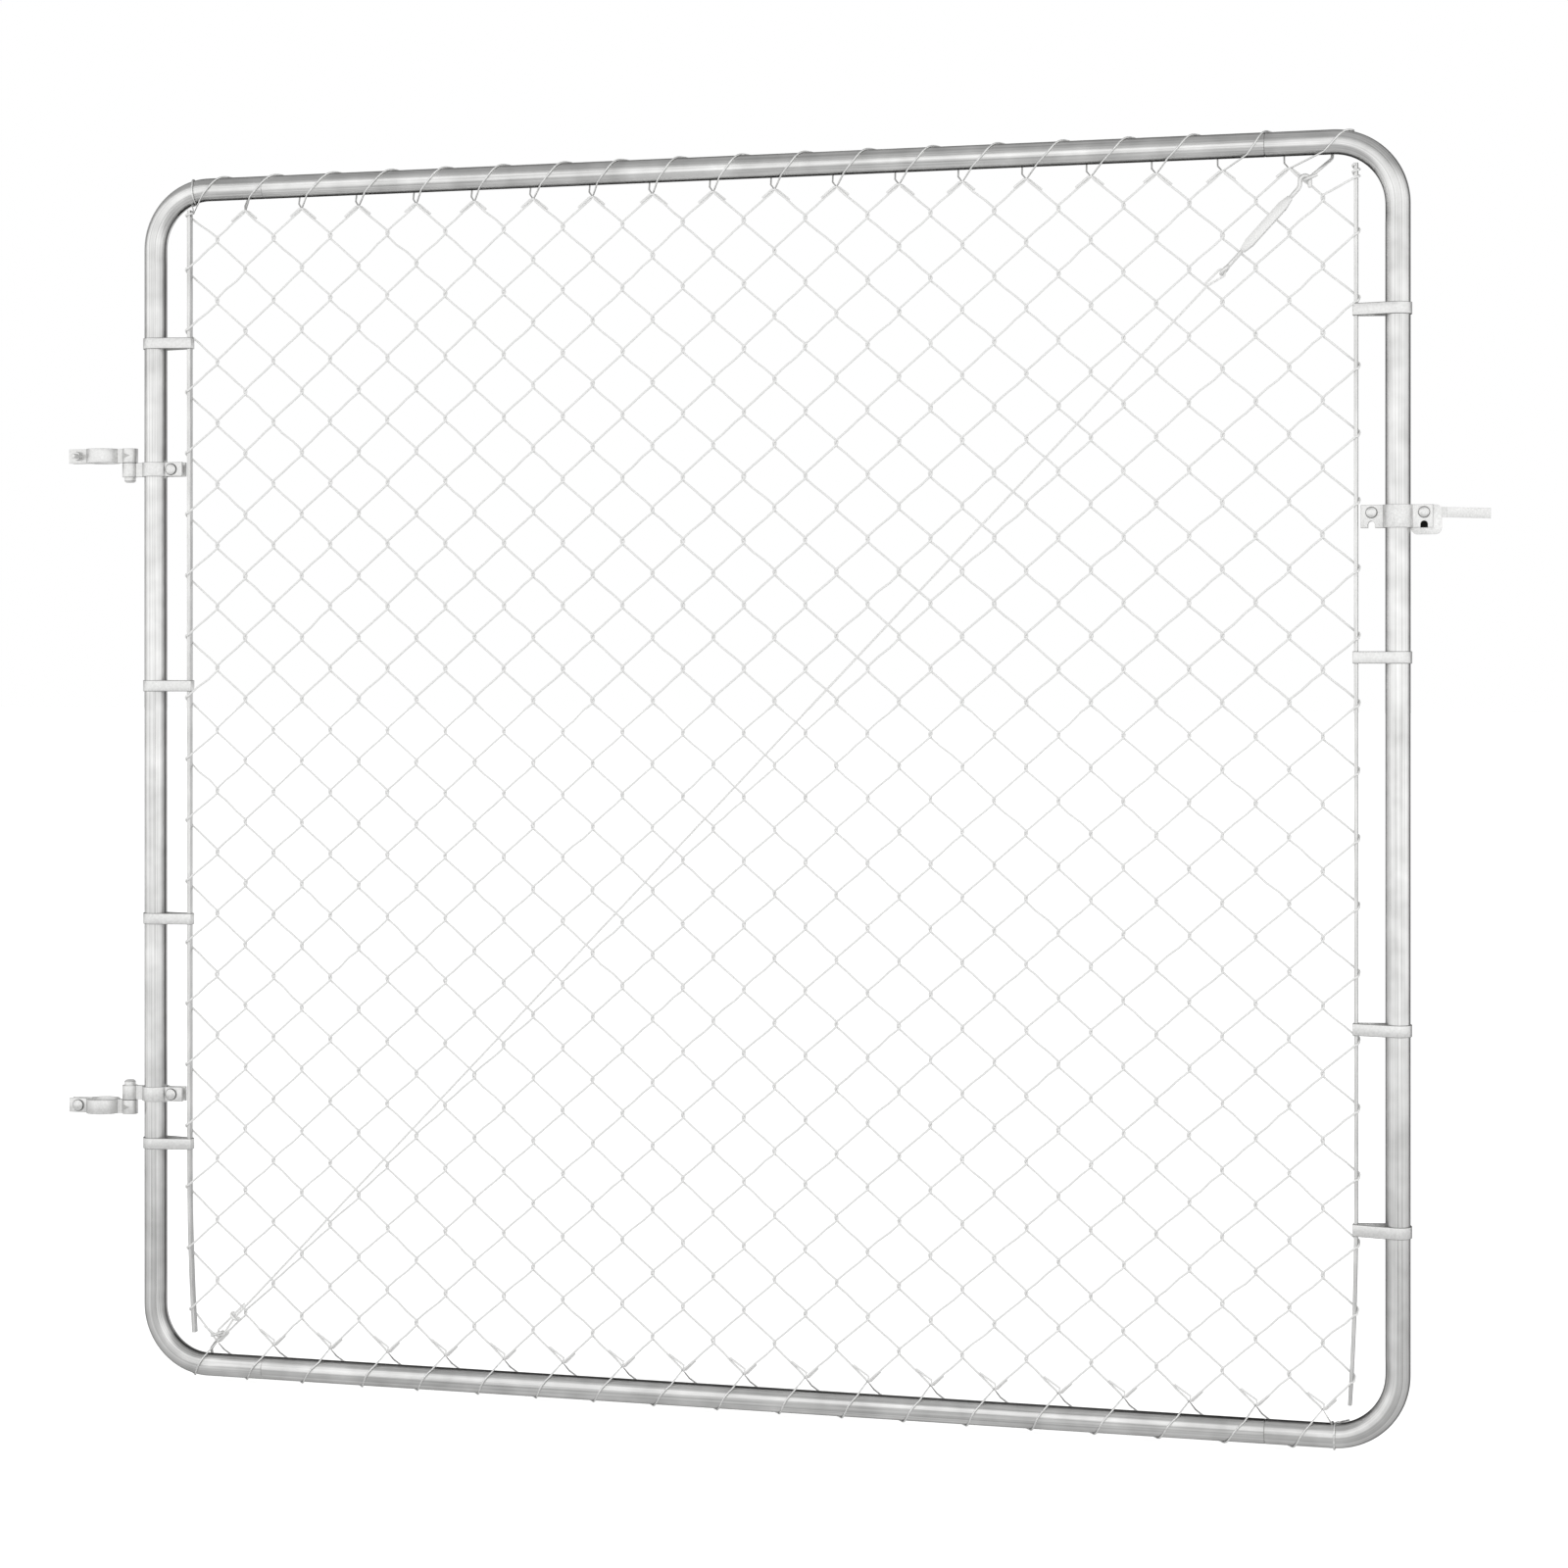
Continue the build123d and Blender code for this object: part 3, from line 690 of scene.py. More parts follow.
# Each wire starts with one square turn, whose end stands off a little
top_start = 98 * MM
top_ring = [(-15, -1), (60, 4), (120, 7), (180, 5), (375, -6)]
top_line = tie_turn(top_start, top_z, 1, top_ring, -15, 375, ring_steps)
top_line += tie_line(top_z, top_knuckle_z, range(0, 37, 2), top_leads, top_back)
bottom_start = 1690 * MM
bottom_ring = [(-20, 22), (10, 3), (380, -2)]
bottom_line = tie_turn(bottom_start, bottom_z, -1, bottom_ring, -20, 380, ring_steps)
bottom_line[0] += Vector((2 * MM, 0, 1 * MM))
bottom_line += tie_line(bottom_z, bottom_knuckle_z, range(37, 0, -2), bottom_leads, bottom_back)
# Fresh zinc on soft wire: brighter than the rails, with a narrow highlight
tie_steel = steel(
    "galvanised soft wire", "Object", "#F6F6F5", "#D4D4D3", fine, 0.7, (0.24, 0.36), 0.2, 0.4
)
for level, line in (("top", top_line), ("bottom", bottom_line)):
    replaced = [level + "_tie_wire"]
    wires(level + "_tie", [line], tie_radius, tie_sides, tie_steel, replaced)

# Brace cable: galvanised steel strand of 3.3 mm, six wires laid round a seventh, pulled tight
# from the lower hinge corner to the turnbuckle. Each end goes round a rod and comes back
# beside the cable.
brace_y = -12 * MM
cable_radius = 1.65 * MM
lay_wire_radius = cable_radius / 3
lay_sides = 6
cable_lay = 30 * MM
cable_step = 2.2 * MM
link_radius = 2.2 * MM
screw_radius = 2.9 * MM
eye_wire = 2.6 * MM
ring_radius = 6.3 * MM
ring_reach = 33 * MM
low_tail = 50 * MM
high_tail = 3 * MM
loop_neck = 22 * MM
loop_seat = -4 * MM
loop_spread = 1.25


def low_place(inset, rise):
    return Vector((left_x + inset * MM, brace_y, bottom_z + rise * MM))


def high_place(inset, drop):
    return Vector((right_x - inset * MM, brace_y, top_z - drop * MM))


body_start = high_place(196.0, 136.5)
body_end = high_place(134.8, 70.8)
screw_axis = (body_end - body_start).normalized()
ring_centre = body_start - screw_axis * ring_reach
ring_low = ring_centre - screw_axis * ring_radius
cable_origin = low_place(109.7, 52.3)
cable_span = high_place(240.9, 180.0) - cable_origin
cable_run = cable_span.normalized()
cable_up = Vector((-cable_run.z, 0, cable_run.x))
run_length = cable_span.length
low_loop = link_radius + cable_radius + 0.3 * MM
high_loop = eye_wire + cable_radius + 0.3 * MM
strand_pitch = 3.7 * MM
seat_along = (ring_low - cable_origin).dot(cable_run)
seat_up = (ring_low - cable_origin).dot(cable_up)


def on_cable(along, up):
    return cable_origin + cable_run * along + cable_up * up


cable_points = [
    on_cable(low_tail, strand_pitch),
    on_cable(loop_neck, strand_pitch),
    on_cable(loop_seat - low_loop, low_loop * loop_spread),
    on_cable(loop_seat - low_loop, -low_loop * loop_spread),
    on_cable(loop_neck, 0),
    on_cable(run_length, 0),
    on_cable(seat_along + high_loop, seat_up - high_loop * loop_spread),
    on_cable(seat_along + high_loop, seat_up + high_loop * loop_spread),
    on_cable(run_length, strand_pitch),
    on_cable(run_length - high_tail, strand_pitch),
]
cable_bends = [share * low_loop for share in (4, 0.9, 0.9, 4)]
cable_bends += [share * high_loop for share in (2, 0.9, 0.9, 2)]
cable_path = divided(rounded(cable_points, cable_bends), cable_step)


def laid_wires(path):
    """Six wires wound round the middle one"""
    lines = [[] for _ in range(7)]
    out = Vector((0, -1, 0))
    for point, tangent, travelled in stations(path):
        across = tangent.cross(out)
        lines[0].append(point)
        for wire in range(6):
            angle = 2 * math.pi * (wire / 6 + travelled / cable_lay)
            spoke = out * math.cos(angle) + across * math.sin(angle)
            lines[wire + 1].append(point + spoke * lay_wire_radius * 2)
    return lines


# Zinc on fine laid wires: pale and matt, with the lay as fine slanting lines
cable_steel = steel(
    "galvanised steel strand", "Object", "#FAFAF9", "#F0F0EF", fine, 0.0, (0.45, 0.6), 0.2
)
strand = laid_wires(cable_path)
wires("cable", strand, lay_wire_radius, lay_sides, cable_steel, ["brace_cable"])

# Cable clip: a small zinc plated wire rope clip. A forged saddle lies behind the two runs of
# cable, a bent rod goes round them in front, and two nuts pull it tight.
clip_spot = on_cable(24.5 * MM, strand_pitch / 2)
clip_half = 5.6 * MM
clip_rod = 1.5 * MM
clip_bend = 2.6 * MM
clip_leg = 7.5 * MM
saddle_half = clip_half * 1.35
saddle_depth = 3.4 * MM
clip_nut_depth = 4.6 * MM
clip_nut_flats = 5.6 * MM
clip_nut_height = 2.4 * MM


def coated(name, light, dark, sheared_and_shaded, grain, roughness):
    """Bright zinc plating over small forged, turned or pressed steel: smooth and pale, with a
    darker grey on marked faces, which is painted shade, partly the duller zinc of sheared edges"""
    even = (grain * MM, grain * MM, grain * MM)
    return steel(name, "Object", light, dark, even, 0.65, roughness, 0.25, 0.6, sheared_and_shaded)


clip_steel = coated("zinc plated clip steel", "#FAFAF9", "#F0F0EF", "#C8C8C7", 2.5, (0.5, 0.65))


def joined(name, meshes):
    """One mesh of several"""
    vertices = []
    faces = []
    for mesh in meshes:
        first = len(vertices)
        vertices += [tuple(vertex.co) for vertex in mesh.vertices]
        faces += [[first + i for i in polygon.vertices] for polygon in mesh.polygons]
    return smoothed(mesh_of(name, vertices, faces))


def nut_mesh(name, spot, way, flats, height):
    """A six sided nut with its corners turned off at both ends"""

    def radius(end, angle):
        side = (angle + math.pi / 6) % (math.pi / 3) - math.pi / 6
        return min(flats / 2 / math.cos(side), flats / 2 * 1.02 + end * 1.2)

    steps = [0, 0.05, 0.1, 0.16, 0.5, 0.84, 0.9, 0.95, 1]
    path = [Vector(spot) + Vector(way) * height * step for step in steps]
    return bar_mesh(name, path, ended(height, radius), 48)


def round_bar(radius):
    return lambda travelled, angle: radius


front = Vector((0, -1, 0))
over = clip_spot + front * (cable_radius + clip_rod + 0.2 * MM)
bow_points = [over - cable_up * clip_half, over + cable_up * clip_half]
bow_points.insert(0, clip_spot - cable_up * clip_half - front * clip_leg)
bow_points.append(clip_spot + cable_up * clip_half - front * clip_leg)
bow_path = rounded(bow_points, [clip_bend, clip_bend])
saddle_spot = clip_spot - front * saddle_depth
saddle_path = [saddle_spot + cable_up * saddle_half * i / 6 for i in range(-6, 7)]
saddle_radius = ended(2 * saddle_half, lambda end, angle: min(2.4 * MM, 1.2 * MM + end * 0.6))
parts = [bar_mesh("clip_bow", bow_path, round_bar(clip_rod), 14)]
parts.append(bar_mesh("clip_saddle", saddle_path, saddle_radius, 16))
for sign in (-1, 1):
    nut_spot = clip_spot + cable_up * sign * clip_half - front * clip_nut_depth
    parts.append(nut_mesh("clip_nut", nut_spot, -front, clip_nut_flats, clip_nut_height))
clip_mesh = joined("wire_rope_clip", parts)
piece("wire_rope_clip", clip_mesh, clip_steel, "leaf", ["cable_clip"])

# Turnbuckle: a forged and zinc plated body with a thread at each end, a threaded eye and a
# threaded hook. The eye's ring stands edge on to the front, and the hook hangs over the link.
body_length = (body_end - body_start).length
body_taper_reach = 20 * MM
body_taper = 0.28
thread_pitch = 1.4 * MM
thread_depth = 0.35 * MM
thread_step = 0.25 * MM
screw_inside = 24 * MM
eye_bare_end = 9 * MM
eye_steps = 48
# Its third grey is painted shade on the marked edges, partly the duller zinc of sheared edges
plated_steel = coated("zinc plated forged steel", "#E8E8E7", "#DADAD9", "#B0B0AF", 2.5, (0.45, 0.6))


def softened(name, node, width, material, body):
    """A CAD node's own shape with its sharp edges rounded over. It is cut along its middle
    first, so that no flat face has a hole"""
    same_place = 0.002 * MM
    flat_angle = math.radians(0.6)
    sharp_angle = math.radians(35)
    shape = bmesh.new()
    shape.from_mesh(nodes[node].data)
    # Marks for the darker grey: painted shade along the rounded edges, partly the duller zinc of
    # sheared edges
    marks = shape.faces.layers.float.new("sheared_and_shaded")
    bmesh.ops.remove_doubles(shape, verts=shape.verts, dist=same_place)
    middle = sum((vertex.co for vertex in shape.verts), Vector()) / len(shape.verts)
    whole = shape.verts[:] + shape.edges[:] + shape.faces[:]
    cut = bmesh.ops.bisect_plane(
        shape, geom=whole, dist=same_place, plane_co=(0, middle.y, 0), plane_no=(0, 1, 0)
    )
    for item in cut["geom_cut"]:
        if isinstance(item, bmesh.types.BMEdge):
            item.seam = True
    bmesh.ops.dissolve_limit(
        shape, angle_limit=flat_angle, verts=shape.verts, edges=shape.edges, delimit={"SEAM"}
    )
    sharp = [
        edge
        for edge in shape.edges
        if len(edge.link_faces) == 2 and edge.calc_face_angle(0) > sharp_angle
    ]
    made = bmesh.ops.bevel(
        shape,
        geom=sharp,
        offset=width,
        offset_type="OFFSET",
        segments=2,
        profile=0.5,
        affect="EDGES",
        clamp_overlap=True,
    )
    # Painted shade: each rounded edge takes the darker grey, partly the duller zinc of a sheared
    # edge
    for face in made["faces"]:
        face[marks] = 1.0
    many = [face for face in shape.faces if len(face.verts) > 4]
    bmesh.ops.triangulate(shape, faces=many, ngon_method="BEAUTY")
    mesh = bpy.data.meshes.new(name)
    shape.to_mesh(mesh)
    shape.free()
    return piece(name, smoothed(mesh, 30), material, body, [node])


def groove(travelled, angle, pitch):
    """How deep in a screw's thread a place lies, from 0 on its crest to 1"""
    return abs(2 * ((travelled / pitch - angle / (2 * math.pi)) % 1) - 1)


def threaded(starts, ends):
    """Radius of a turnbuckle's screw whose thread runs between two places along it"""

    def shape(travelled, angle):
        if not starts < travelled < ends:
            return screw_radius
        return screw_radius - thread_depth * groove(travelled, angle, thread_pitch)

    return shape


frame_piece = softened(
    "turnbuckle_frame", "turnbuckle_body", 1.6 * MM, plated_steel, "leaf"
)
body_middle = (body_start + body_end) / 2
for vertex in frame_piece.data.vertices:
    along = (vertex.co - body_middle).dot(screw_axis)
    centre = body_middle + screw_axis * along
    past = max(0, (abs(along) - body_length / 2 + body_taper_reach) / body_taper_reach)
    if (vertex.co - centre).length > 1.15 * screw_radius:
        vertex.co = centre + (vertex.co - centre) * (1 - body_taper * past * past)

ring_high = ring_centre + screw_axis * ring_radius
eye_shank = divided([ring_high, body_start + screw_axis * screw_inside], thread_step)
eye_mesh = bar_mesh("eye_shank", eye_shank, threaded(eye_bare_end, path_length(eye_shank)), 20)
ring_path = []
for step in range(eye_steps + 1):
    angle = 2 * math.pi * step / eye_steps
    spoke = screw_axis * math.cos(angle) + front * math.sin(angle)
    ring_path.append(ring_centre + spoke * ring_radius)
ring_mesh = bar_mesh("eye_ring", ring_path, round_bar(eye_wire), 16)
eye_whole = joined("eye_screw", [eye_mesh, ring_mesh])
piece("eye_screw", eye_whole, plated_steel, "leaf", ["turnbuckle_eye"])

hook_middle = high_place(116.1, 49.8)
hook_radius = 6.3 * MM
hook_drop = 9 * MM
hook_tip_reach = 5 * MM
shank_x = hook_middle.x - hook_radius
tip_x = hook_middle.x + hook_radius
hook_top = hook_middle.z + hook_radius
turn_z = body_end.z + screw_axis.z / screw_axis.x * (shank_x - body_end.x)
hook_points = [
    body_end - screw_axis * screw_inside,
    (shank_x, brace_y, turn_z),
    (shank_x, brace_y, hook_top),
    (tip_x, brace_y, hook_top),
    (tip_x, brace_y, hook_middle.z - hook_drop),
]
hook_bends = [12 * MM, hook_radius * 0.99, hook_radius * 0.99]
hook_path = divided(rounded(hook_points, hook_bends), thread_step)
hook_length = path_length(hook_path)
hook_thread = threaded(-MM, screw_inside + 3 * MM)


def hook_shape(travelled, angle):
    tip = max(0, travelled - hook_length + hook_tip_reach) / hook_tip_reach
    return hook_thread(travelled, angle) * (1 - 0.35 * tip * tip)


hook_mesh = bar_mesh("hook_screw", hook_path, hook_shape, 20)
piece("hook_screw", hook_mesh, plated_steel, "leaf", ["turnbuckle_hook"])

# Corner links: plated 4.4 mm rod. Each is bent round the hook or the cable's loop, goes
# straight to the rail's back and hooks over its far side, out of sight from the front.
link_clearance = 0.3 * MM
link_tail = 12 * MM
link_tail_rise = 2 * MM
link_step = 4 * MM
link_sides = 16
# Where the rod hugs the rail: shares of its way round it, to the back and to the far side
link_hug = ((0.62, -1.06), (1.02, -0.2), (0.72, 0.72))


def link_path(hold, grip, rail_z, side, tube_x):
    wrap = tube_radius + link_clearance + link_radius
    front_y = brace_y - grip
    pull = Vector((tube_x - hold.x, 0, rail_z - side * wrap - hold.z)).normalized()
    bend = hold - pull * grip
    points = [
        (hold.x + side * link_tail, front_y, hold.z + side * link_tail_rise),
        (bend.x, front_y, bend.z),
        (bend.x, brace_y + grip, bend.z),
    ]
    points += [(tube_x, wrap * back, rail_z + side * wrap * far) for back, far in link_hug]
    return divided(rounded(points, [grip * 0.9, grip * 0.9, 7 * MM, 9 * MM]), link_step)


def cut_end(length):
    """Radius of a link whose two ends are a little rounded by the shear"""
    round_off = 1.5 * MM
    return ended(length, lambda end, angle: link_radius * min(1, 0.75 + end / round_off * 0.25))


hook_seat = hook_middle + Vector((1, 0, 1)).normalized() * hook_radius
hook_grip = screw_radius + link_clearance + link_radius
loop_middle = on_cable(loop_seat, 0)
low_pull = (low_place(80, 0) - loop_middle).normalized()
links = (
    ("upper", hook_seat, hook_grip, top_z, 1, right_x - 84 * MM),
    ("lower", loop_middle + low_pull * low_loop, low_loop, bottom_z, -1, left_x + 80 * MM),
)
for level, hold, grip, rail_z, side, tube_x in links:
    path = link_path(hold, grip, rail_z, side, tube_x)
    mesh = bar_mesh(level + "_rod_link", path, cut_end(path_length(path)), link_sides)
    node = level + "_brace_link"
    piece(level + "_rod_link", mesh, plated_steel, "leaf", [node])

# Bands: pressed steel strip, 15.5 mm high, galvanised, bent round the tube and the tension
# bar and closed on itself.
band_edge = 0.7 * MM
# Its third grey is painted shade on the marked edges and stake marks, partly the duller zinc of
# sheared edges
strip_steel = coated("galvanised pressed strip", "#E8E8E7", "#D0D0CF", "#8A8A89", 3, (0.3, 0.44))
for side in ("left", "right"):
    for number in range(1, 5):
        node = side + "_band_" + str(number)
        softened(node + "_strip", node, band_edge, strip_steel, "leaf")

# Hinge straps and pins: galvanised strip of 3 mm folded round a 15.9 mm pin, closed at the
# neck and opened to a collar with two ears. The pin is staked in the post's strap, and the
# frame's strap turns on it.
strap_edge = 0.9 * MM
pin_edge = 0.5 * MM
for level in ("lower", "upper"):
    for holder, body in (("post", "post_side"), ("frame", "leaf")):
        node = level + "_" + holder + "_strap"
        softened(node + "_fold", node, strap_edge, strip_steel, body)
    node = level + "_hinge_pin"
    softened(level + "_pin", node, pin_edge, plated_steel, "post_side")

# Stake marks: a punched wedge on the front of each post strap's barrel, which holds its pin.
# The wedge stands proud at its wide left end and runs out flat to the right.
barrel_radius = 10.95 * MM
stake_root = 0.6
stake_wide, stake_point, stake_run = 3.4, 4.8, 9.3
stake_profile = ((-4.5, 1.0), (-1.5, 0.65), (1.5, 0.35), (4.5, 0.12))
stake_shade = 0.6


def stake_mesh(name, z):
    spots = []
    for x, raised in stake_profile:
        half = stake_wide * (stake_point - x) / stake_run
        surface = -math.sqrt(barrel_radius**2 - (x * MM) ** 2)
        for depth in (stake_root, -raised):
            spots += [(x * MM, surface + depth * MM, z + half * side * MM) for side in (1, -1)]
    faces = [(0, 1, 3, 2), (12, 14, 15, 13)]
    for i in range(0, 12, 4):
        faces += [(i, i + 4, i + 5, i + 1), (i + 2, i + 3, i + 7, i + 6)]
        faces += [(i, i + 2, i + 6, i + 4), (i + 1, i + 5, i + 7, i + 3)]
    mesh = mesh_of(name, spots, faces)
    shape = bmesh.new()
    shape.from_mesh(mesh)
    bmesh.ops.recalc_face_normals(shape, faces=shape.faces)
    shape.to_mesh(mesh)
    shape.free()
    # Painted shade: the whole wedge takes part of the darker grey, for the shade of the punched
    # mark
    marks = mesh.attributes.new("sheared_and_shaded", "FLOAT", "FACE")
    marks.data.foreach_set("value", [stake_shade] * len(faces))
    return mesh


for level, z in (("lower", 10 * MM), ("upper", 932 * MM)):
    name = level + "_stake_mark"
    piece(name, stake_mesh(name, z), strip_steel, "post_side", [])

# Latch strike: two pressed halves clamped round the tube, and a flat arm bolted between
# their right ears, which droops a little. A near-black pad fills the notch in front of the
# arm's plate and makes the notch dark: nearly matt, with grains of about 1 mm.
plate_edge = 0.9 * MM
arm_start = right_x + 54.7 * MM
arm_droop = 0.038
# Its third grey is painted shade on the marked edges, partly the duller zinc of sheared edges
plate_steel = coated("galvanised pressed plate", "#F0F0EF", "#C8C8C7", "#969695", 2.2, (0.34, 0.5))
for half in ("front", "back"):
    node = "latch_" + half + "_clamp"
    softened("latch_" + half + "_half", node, plate_edge, plate_steel, "leaf")
strike = softened("latch_strike", "strike_arm", plate_edge, plate_steel, "leaf")
for vertex in strike.data.vertices:
    vertex.co.z -= max(0, vertex.co.x - arm_start) * arm_droop
# Near-black, nearly matt finish of the pad that darkens the notch
notch_black = bpy.data.materials.new("near-black notch pad, matt")
notch_black.use_nodes = True
tree = notch_black.node_tree
shader = tree.nodes["Principled BSDF"]
shader.inputs["Roughness"].default_value = 0.9
shader.inputs["Specular IOR Level"].default_value = 0.15
where = add_node(tree, "ShaderNodeTexCoord")
pad_grain = add_node(
    tree, "ShaderNodeTexNoise", {"Scale": 900.0, "Detail": 2.0}, {"Vector": where.outputs["Object"]}
)
shades = add_node(tree, "ShaderNodeValToRGB", {}, {"Fac": pad_grain})
shades.color_ramp.elements[0].color = linear("#040404")
shades.color_ramp.elements[1].color = linear("#0D0D0D")
tree.links.new(shades.outputs["Color"], shader.inputs["Base Color"])
nodes["latch_pad"].data.materials.clear()
nodes["latch_pad"].data.materials.append(notch_black)

# Carriage bolts and nuts: zinc plated, 6.35 mm, with a domed head of 16.8 mm on the hinges,
# where they draw a strap's ears together, and of 14.8 mm on the latch, where they clamp its
# two halves on the tube.
bolt_radius = 3.175 * MM
bolt_sides = 32
hinge_head = 8.4 * MM
latch_head = 7.4 * MM
head_height = 3.6 * MM
head_rim = 0.8 * MM
head_crown = head_height - head_rim
head_steps = [0.02, 0.06, 0.12, 0.2, 0.3, 0.42, 0.56, 0.72, 0.88, 1]
nut_flats = 11.1 * MM
nut_height = 5.6 * MM
bolt_pitch = 1.27 * MM
bolt_groove = 0.3 * MM
bolt_step = 0.16 * MM
bolt_tip = 0.8 * MM
fine_step = 0.01 * MM
# Its third grey is painted shade on the heads' rims and the nuts' outer faces
bolt_steel = coated("zinc plated bolt steel", "#E8E8E7", "#CCCCCB", "#6E6E6D", 2.5, (0.25, 0.38))


def bolt_shape(length, head_radius, thread_start):
    def shape(travelled, angle):
        if travelled < head_crown:
            rise = 1 - travelled / head_crown
            return head_radius * math.sqrt(max(0.0004, 1 - rise * rise))
        if travelled <= head_height:
            return head_radius
        if travelled < thread_start:
            return bolt_radius
        tip = max(0, travelled - length + bolt_tip) * 0.7
        return bolt_radius - bolt_groove * groove(travelled, angle, bolt_pitch) - tip

    return shape


def bolt_mesh(name, half_grip, head_radius, tail):
    """A bolt and its nut along +Y, with the head at the front. The head's rim and the nut's
    outer face take the darker grey: painted shade that outlines them"""
    length = head_height + 2 * half_grip + nut_height + tail
    thread_start = length - nut_height - tail
    spots = [0] + [head_crown * step for step in head_steps]
    spots += [head_height, head_height + fine_step, thread_start - fine_step]
    count = round((nut_height + tail) / bolt_step)
    spots += [thread_start + (length - thread_start) * i / count for i in range(count + 1)]
    start = -half_grip - head_height
    path = [Vector((0, start + spot, 0)) for spot in spots]
    shape = bolt_shape(length, head_radius, thread_start)
    bolt = bar_mesh(name + "_bolt", path, shape, bolt_sides)
    nut = nut_mesh(name + "_nut", (0, half_grip, 0), (0, 1, 0), nut_flats, nut_height)
    whole = joined(name, [bolt, nut])
    # Painted shade: the head's rim and the nut's outer face are marked for the darker grey
    rims = []
    for face in whole.polygons:
        out = math.hypot(face.center.x, face.center.z) / head_radius
        at_nut = face.center.y > half_grip + nut_height * 0.9 and out > 0.45
        rims.append(1.0 if out > 0.86 and face.center.y < 0 or at_nut else 0.0)
    whole.attributes.new("sheared_and_shaded", "FLOAT", "FACE").data.foreach_set("value", rims)
    return whole


def set_out_tree():
    """Puts a copy of a part on each point, turned by the point's own angle"""
    inputs = {"Places": "Geometry", "Part": "Object", "Finish": "Material"}
    tree, given = new_tree("parts set out", inputs, "Parts")
    points = add_node(tree, "GeometryNodeMeshToPoints", {}, {"Mesh": given["Places"]})
    angle = add_node(tree, "GeometryNodeInputNamedAttribute", {"Name": "turned"})
    turn = add_node(tree, "ShaderNodeCombineXYZ", {}, {"Z": angle})
    part = add_node(tree, "GeometryNodeObjectInfo", {}, {"Object": given["Part"]})
    copies = add_node(
        tree,
        "GeometryNodeInstanceOnPoints",
        {},
        {
            "Points": points,
            "Instance": part.outputs["Geometry"],
            "Rotation": turn,
        },
    )
    return end_tree(tree, copies, given["Finish"], "Parts")


parts_set_out = set_out_tree()


def bolts(name, sizes, places, body, replaced):
    """Bolts at places in the gate's plane. A turned bolt has its head at the back"""
    master = placed(name + "_one", bolt_mesh(name + "_one", *sizes))
    spots = mesh_of(name, [(x * MM, 0, z * MM) for x, z, turned in places], [])
    turns = spots.attributes.new("turned", "FLOAT", "POINT")
    for item, (x, z, turned) in zip(turns.data, places):
        item.value = math.pi if turned else 0
    made = made_by(parts_set_out, name, spots, {"Part": master, "Finish": bolt_steel})
    bpy.data.objects.remove(master)
    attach(made, body)
    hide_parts(*replaced)


# Places in mm: each strap's ears stand beyond the post's or the tube's round
post_bolt_x = -42 - 20.75 - 14.5
frame_bolt_x = 40 + 15.975 + 11
lower_strap = 20.5
upper_strap = 901.5
strap_height = 20
strap_half = strap_height / 2
strap_grip = 7.5 * MM
bolts(
    "post_bolts",
    (strap_grip, hinge_head, 10.2 * MM),
    [(post_bolt_x, strap_half, False), (post_bolt_x, upper_strap + 20.5 + strap_half, True)],
    "post_side",
    ["lower_post_bolt", "lower_post_nut", "upper_post_bolt", "upper_post_nut"],
)
bolts(
    "frame_bolts",
    (strap_grip, hinge_head, 6 * MM),
    [(frame_bolt_x, strap + strap_half, False) for strap in (lower_strap, upper_strap)],
    "leaf",
    ["lower_frame_bolt", "lower_frame_nut", "upper_frame_bolt", "upper_frame_nut"],
)
latch_grip = 4.5 * MM
latch_bolt_z = 1304 - 479 + 5
bolts(
    "latch_bolts",
    (latch_grip, latch_head, 6 * MM),
    [(1771 - 33, latch_bolt_z, False), (1771 + 33, latch_bolt_z, False)],
    "leaf",
    ["latch_left_bolt", "latch_left_nut", "latch_right_bolt", "latch_right_nut"],
)

# Floor: a pale studio floor that goes on past the picture. The camera and mirror-like
# surfaces see it as white, and it keeps the gate's soft shadow.
floor_reach = 60
floor_z = cad_box[0][2] - 1 * MM
floor_glow = 0.62


def stage_sheet(name, vertices, faces, paint_name):
    """A mesh of the studio with a material of its own, and that material's empty tree"""
    mesh = mesh_of(name, vertices, faces)
    paint = bpy.data.materials.new(paint_name)
    paint.use_nodes = True
    paint.node_tree.nodes.clear()
    mesh.materials.append(paint)
    return placed(name, mesh), paint.node_tree


def seen_by(tree, rays):
    """1 for rays of some kinds and 0 for all others"""
    path = add_node(tree, "ShaderNodeLightPath")
    seen = path.outputs[rays[0]]
    for ray in rays[1:]:
        links = {0: seen, 1: path.outputs[ray]}
        seen = add_node(tree, "ShaderNodeMath", {"operation": "MAXIMUM"}, links)
    return seen


corners = [(-1, -1), (1, -1), (1, 1), (-1, 1)]
corners = [(x * floor_reach, y * floor_reach, floor_z) for x, y in corners]
floor, tree = stage_sheet("floor", corners, [(0, 1, 2, 3)], "studio floor, matt white")
matt = add_node(tree, "ShaderNodeBsdfDiffuse", {"Color": linear("#E8E8E8")})
watched = seen_by(tree, ("Is Camera Ray", "Is Glossy Ray", "Is Transmission Ray"))
lift = add_node(tree, "ShaderNodeMath", {"operation": "MULTIPLY", 1: floor_glow}, {0: watched})
glow = add_node(tree, "ShaderNodeEmission", {"Color": (1, 1, 1, 1)}, {"Strength": lift})
both = add_node(tree, "ShaderNodeAddShader", {}, {0: matt, 1: glow})
add_node(tree, "ShaderNodeOutputMaterial", {}, {"Surface": both})

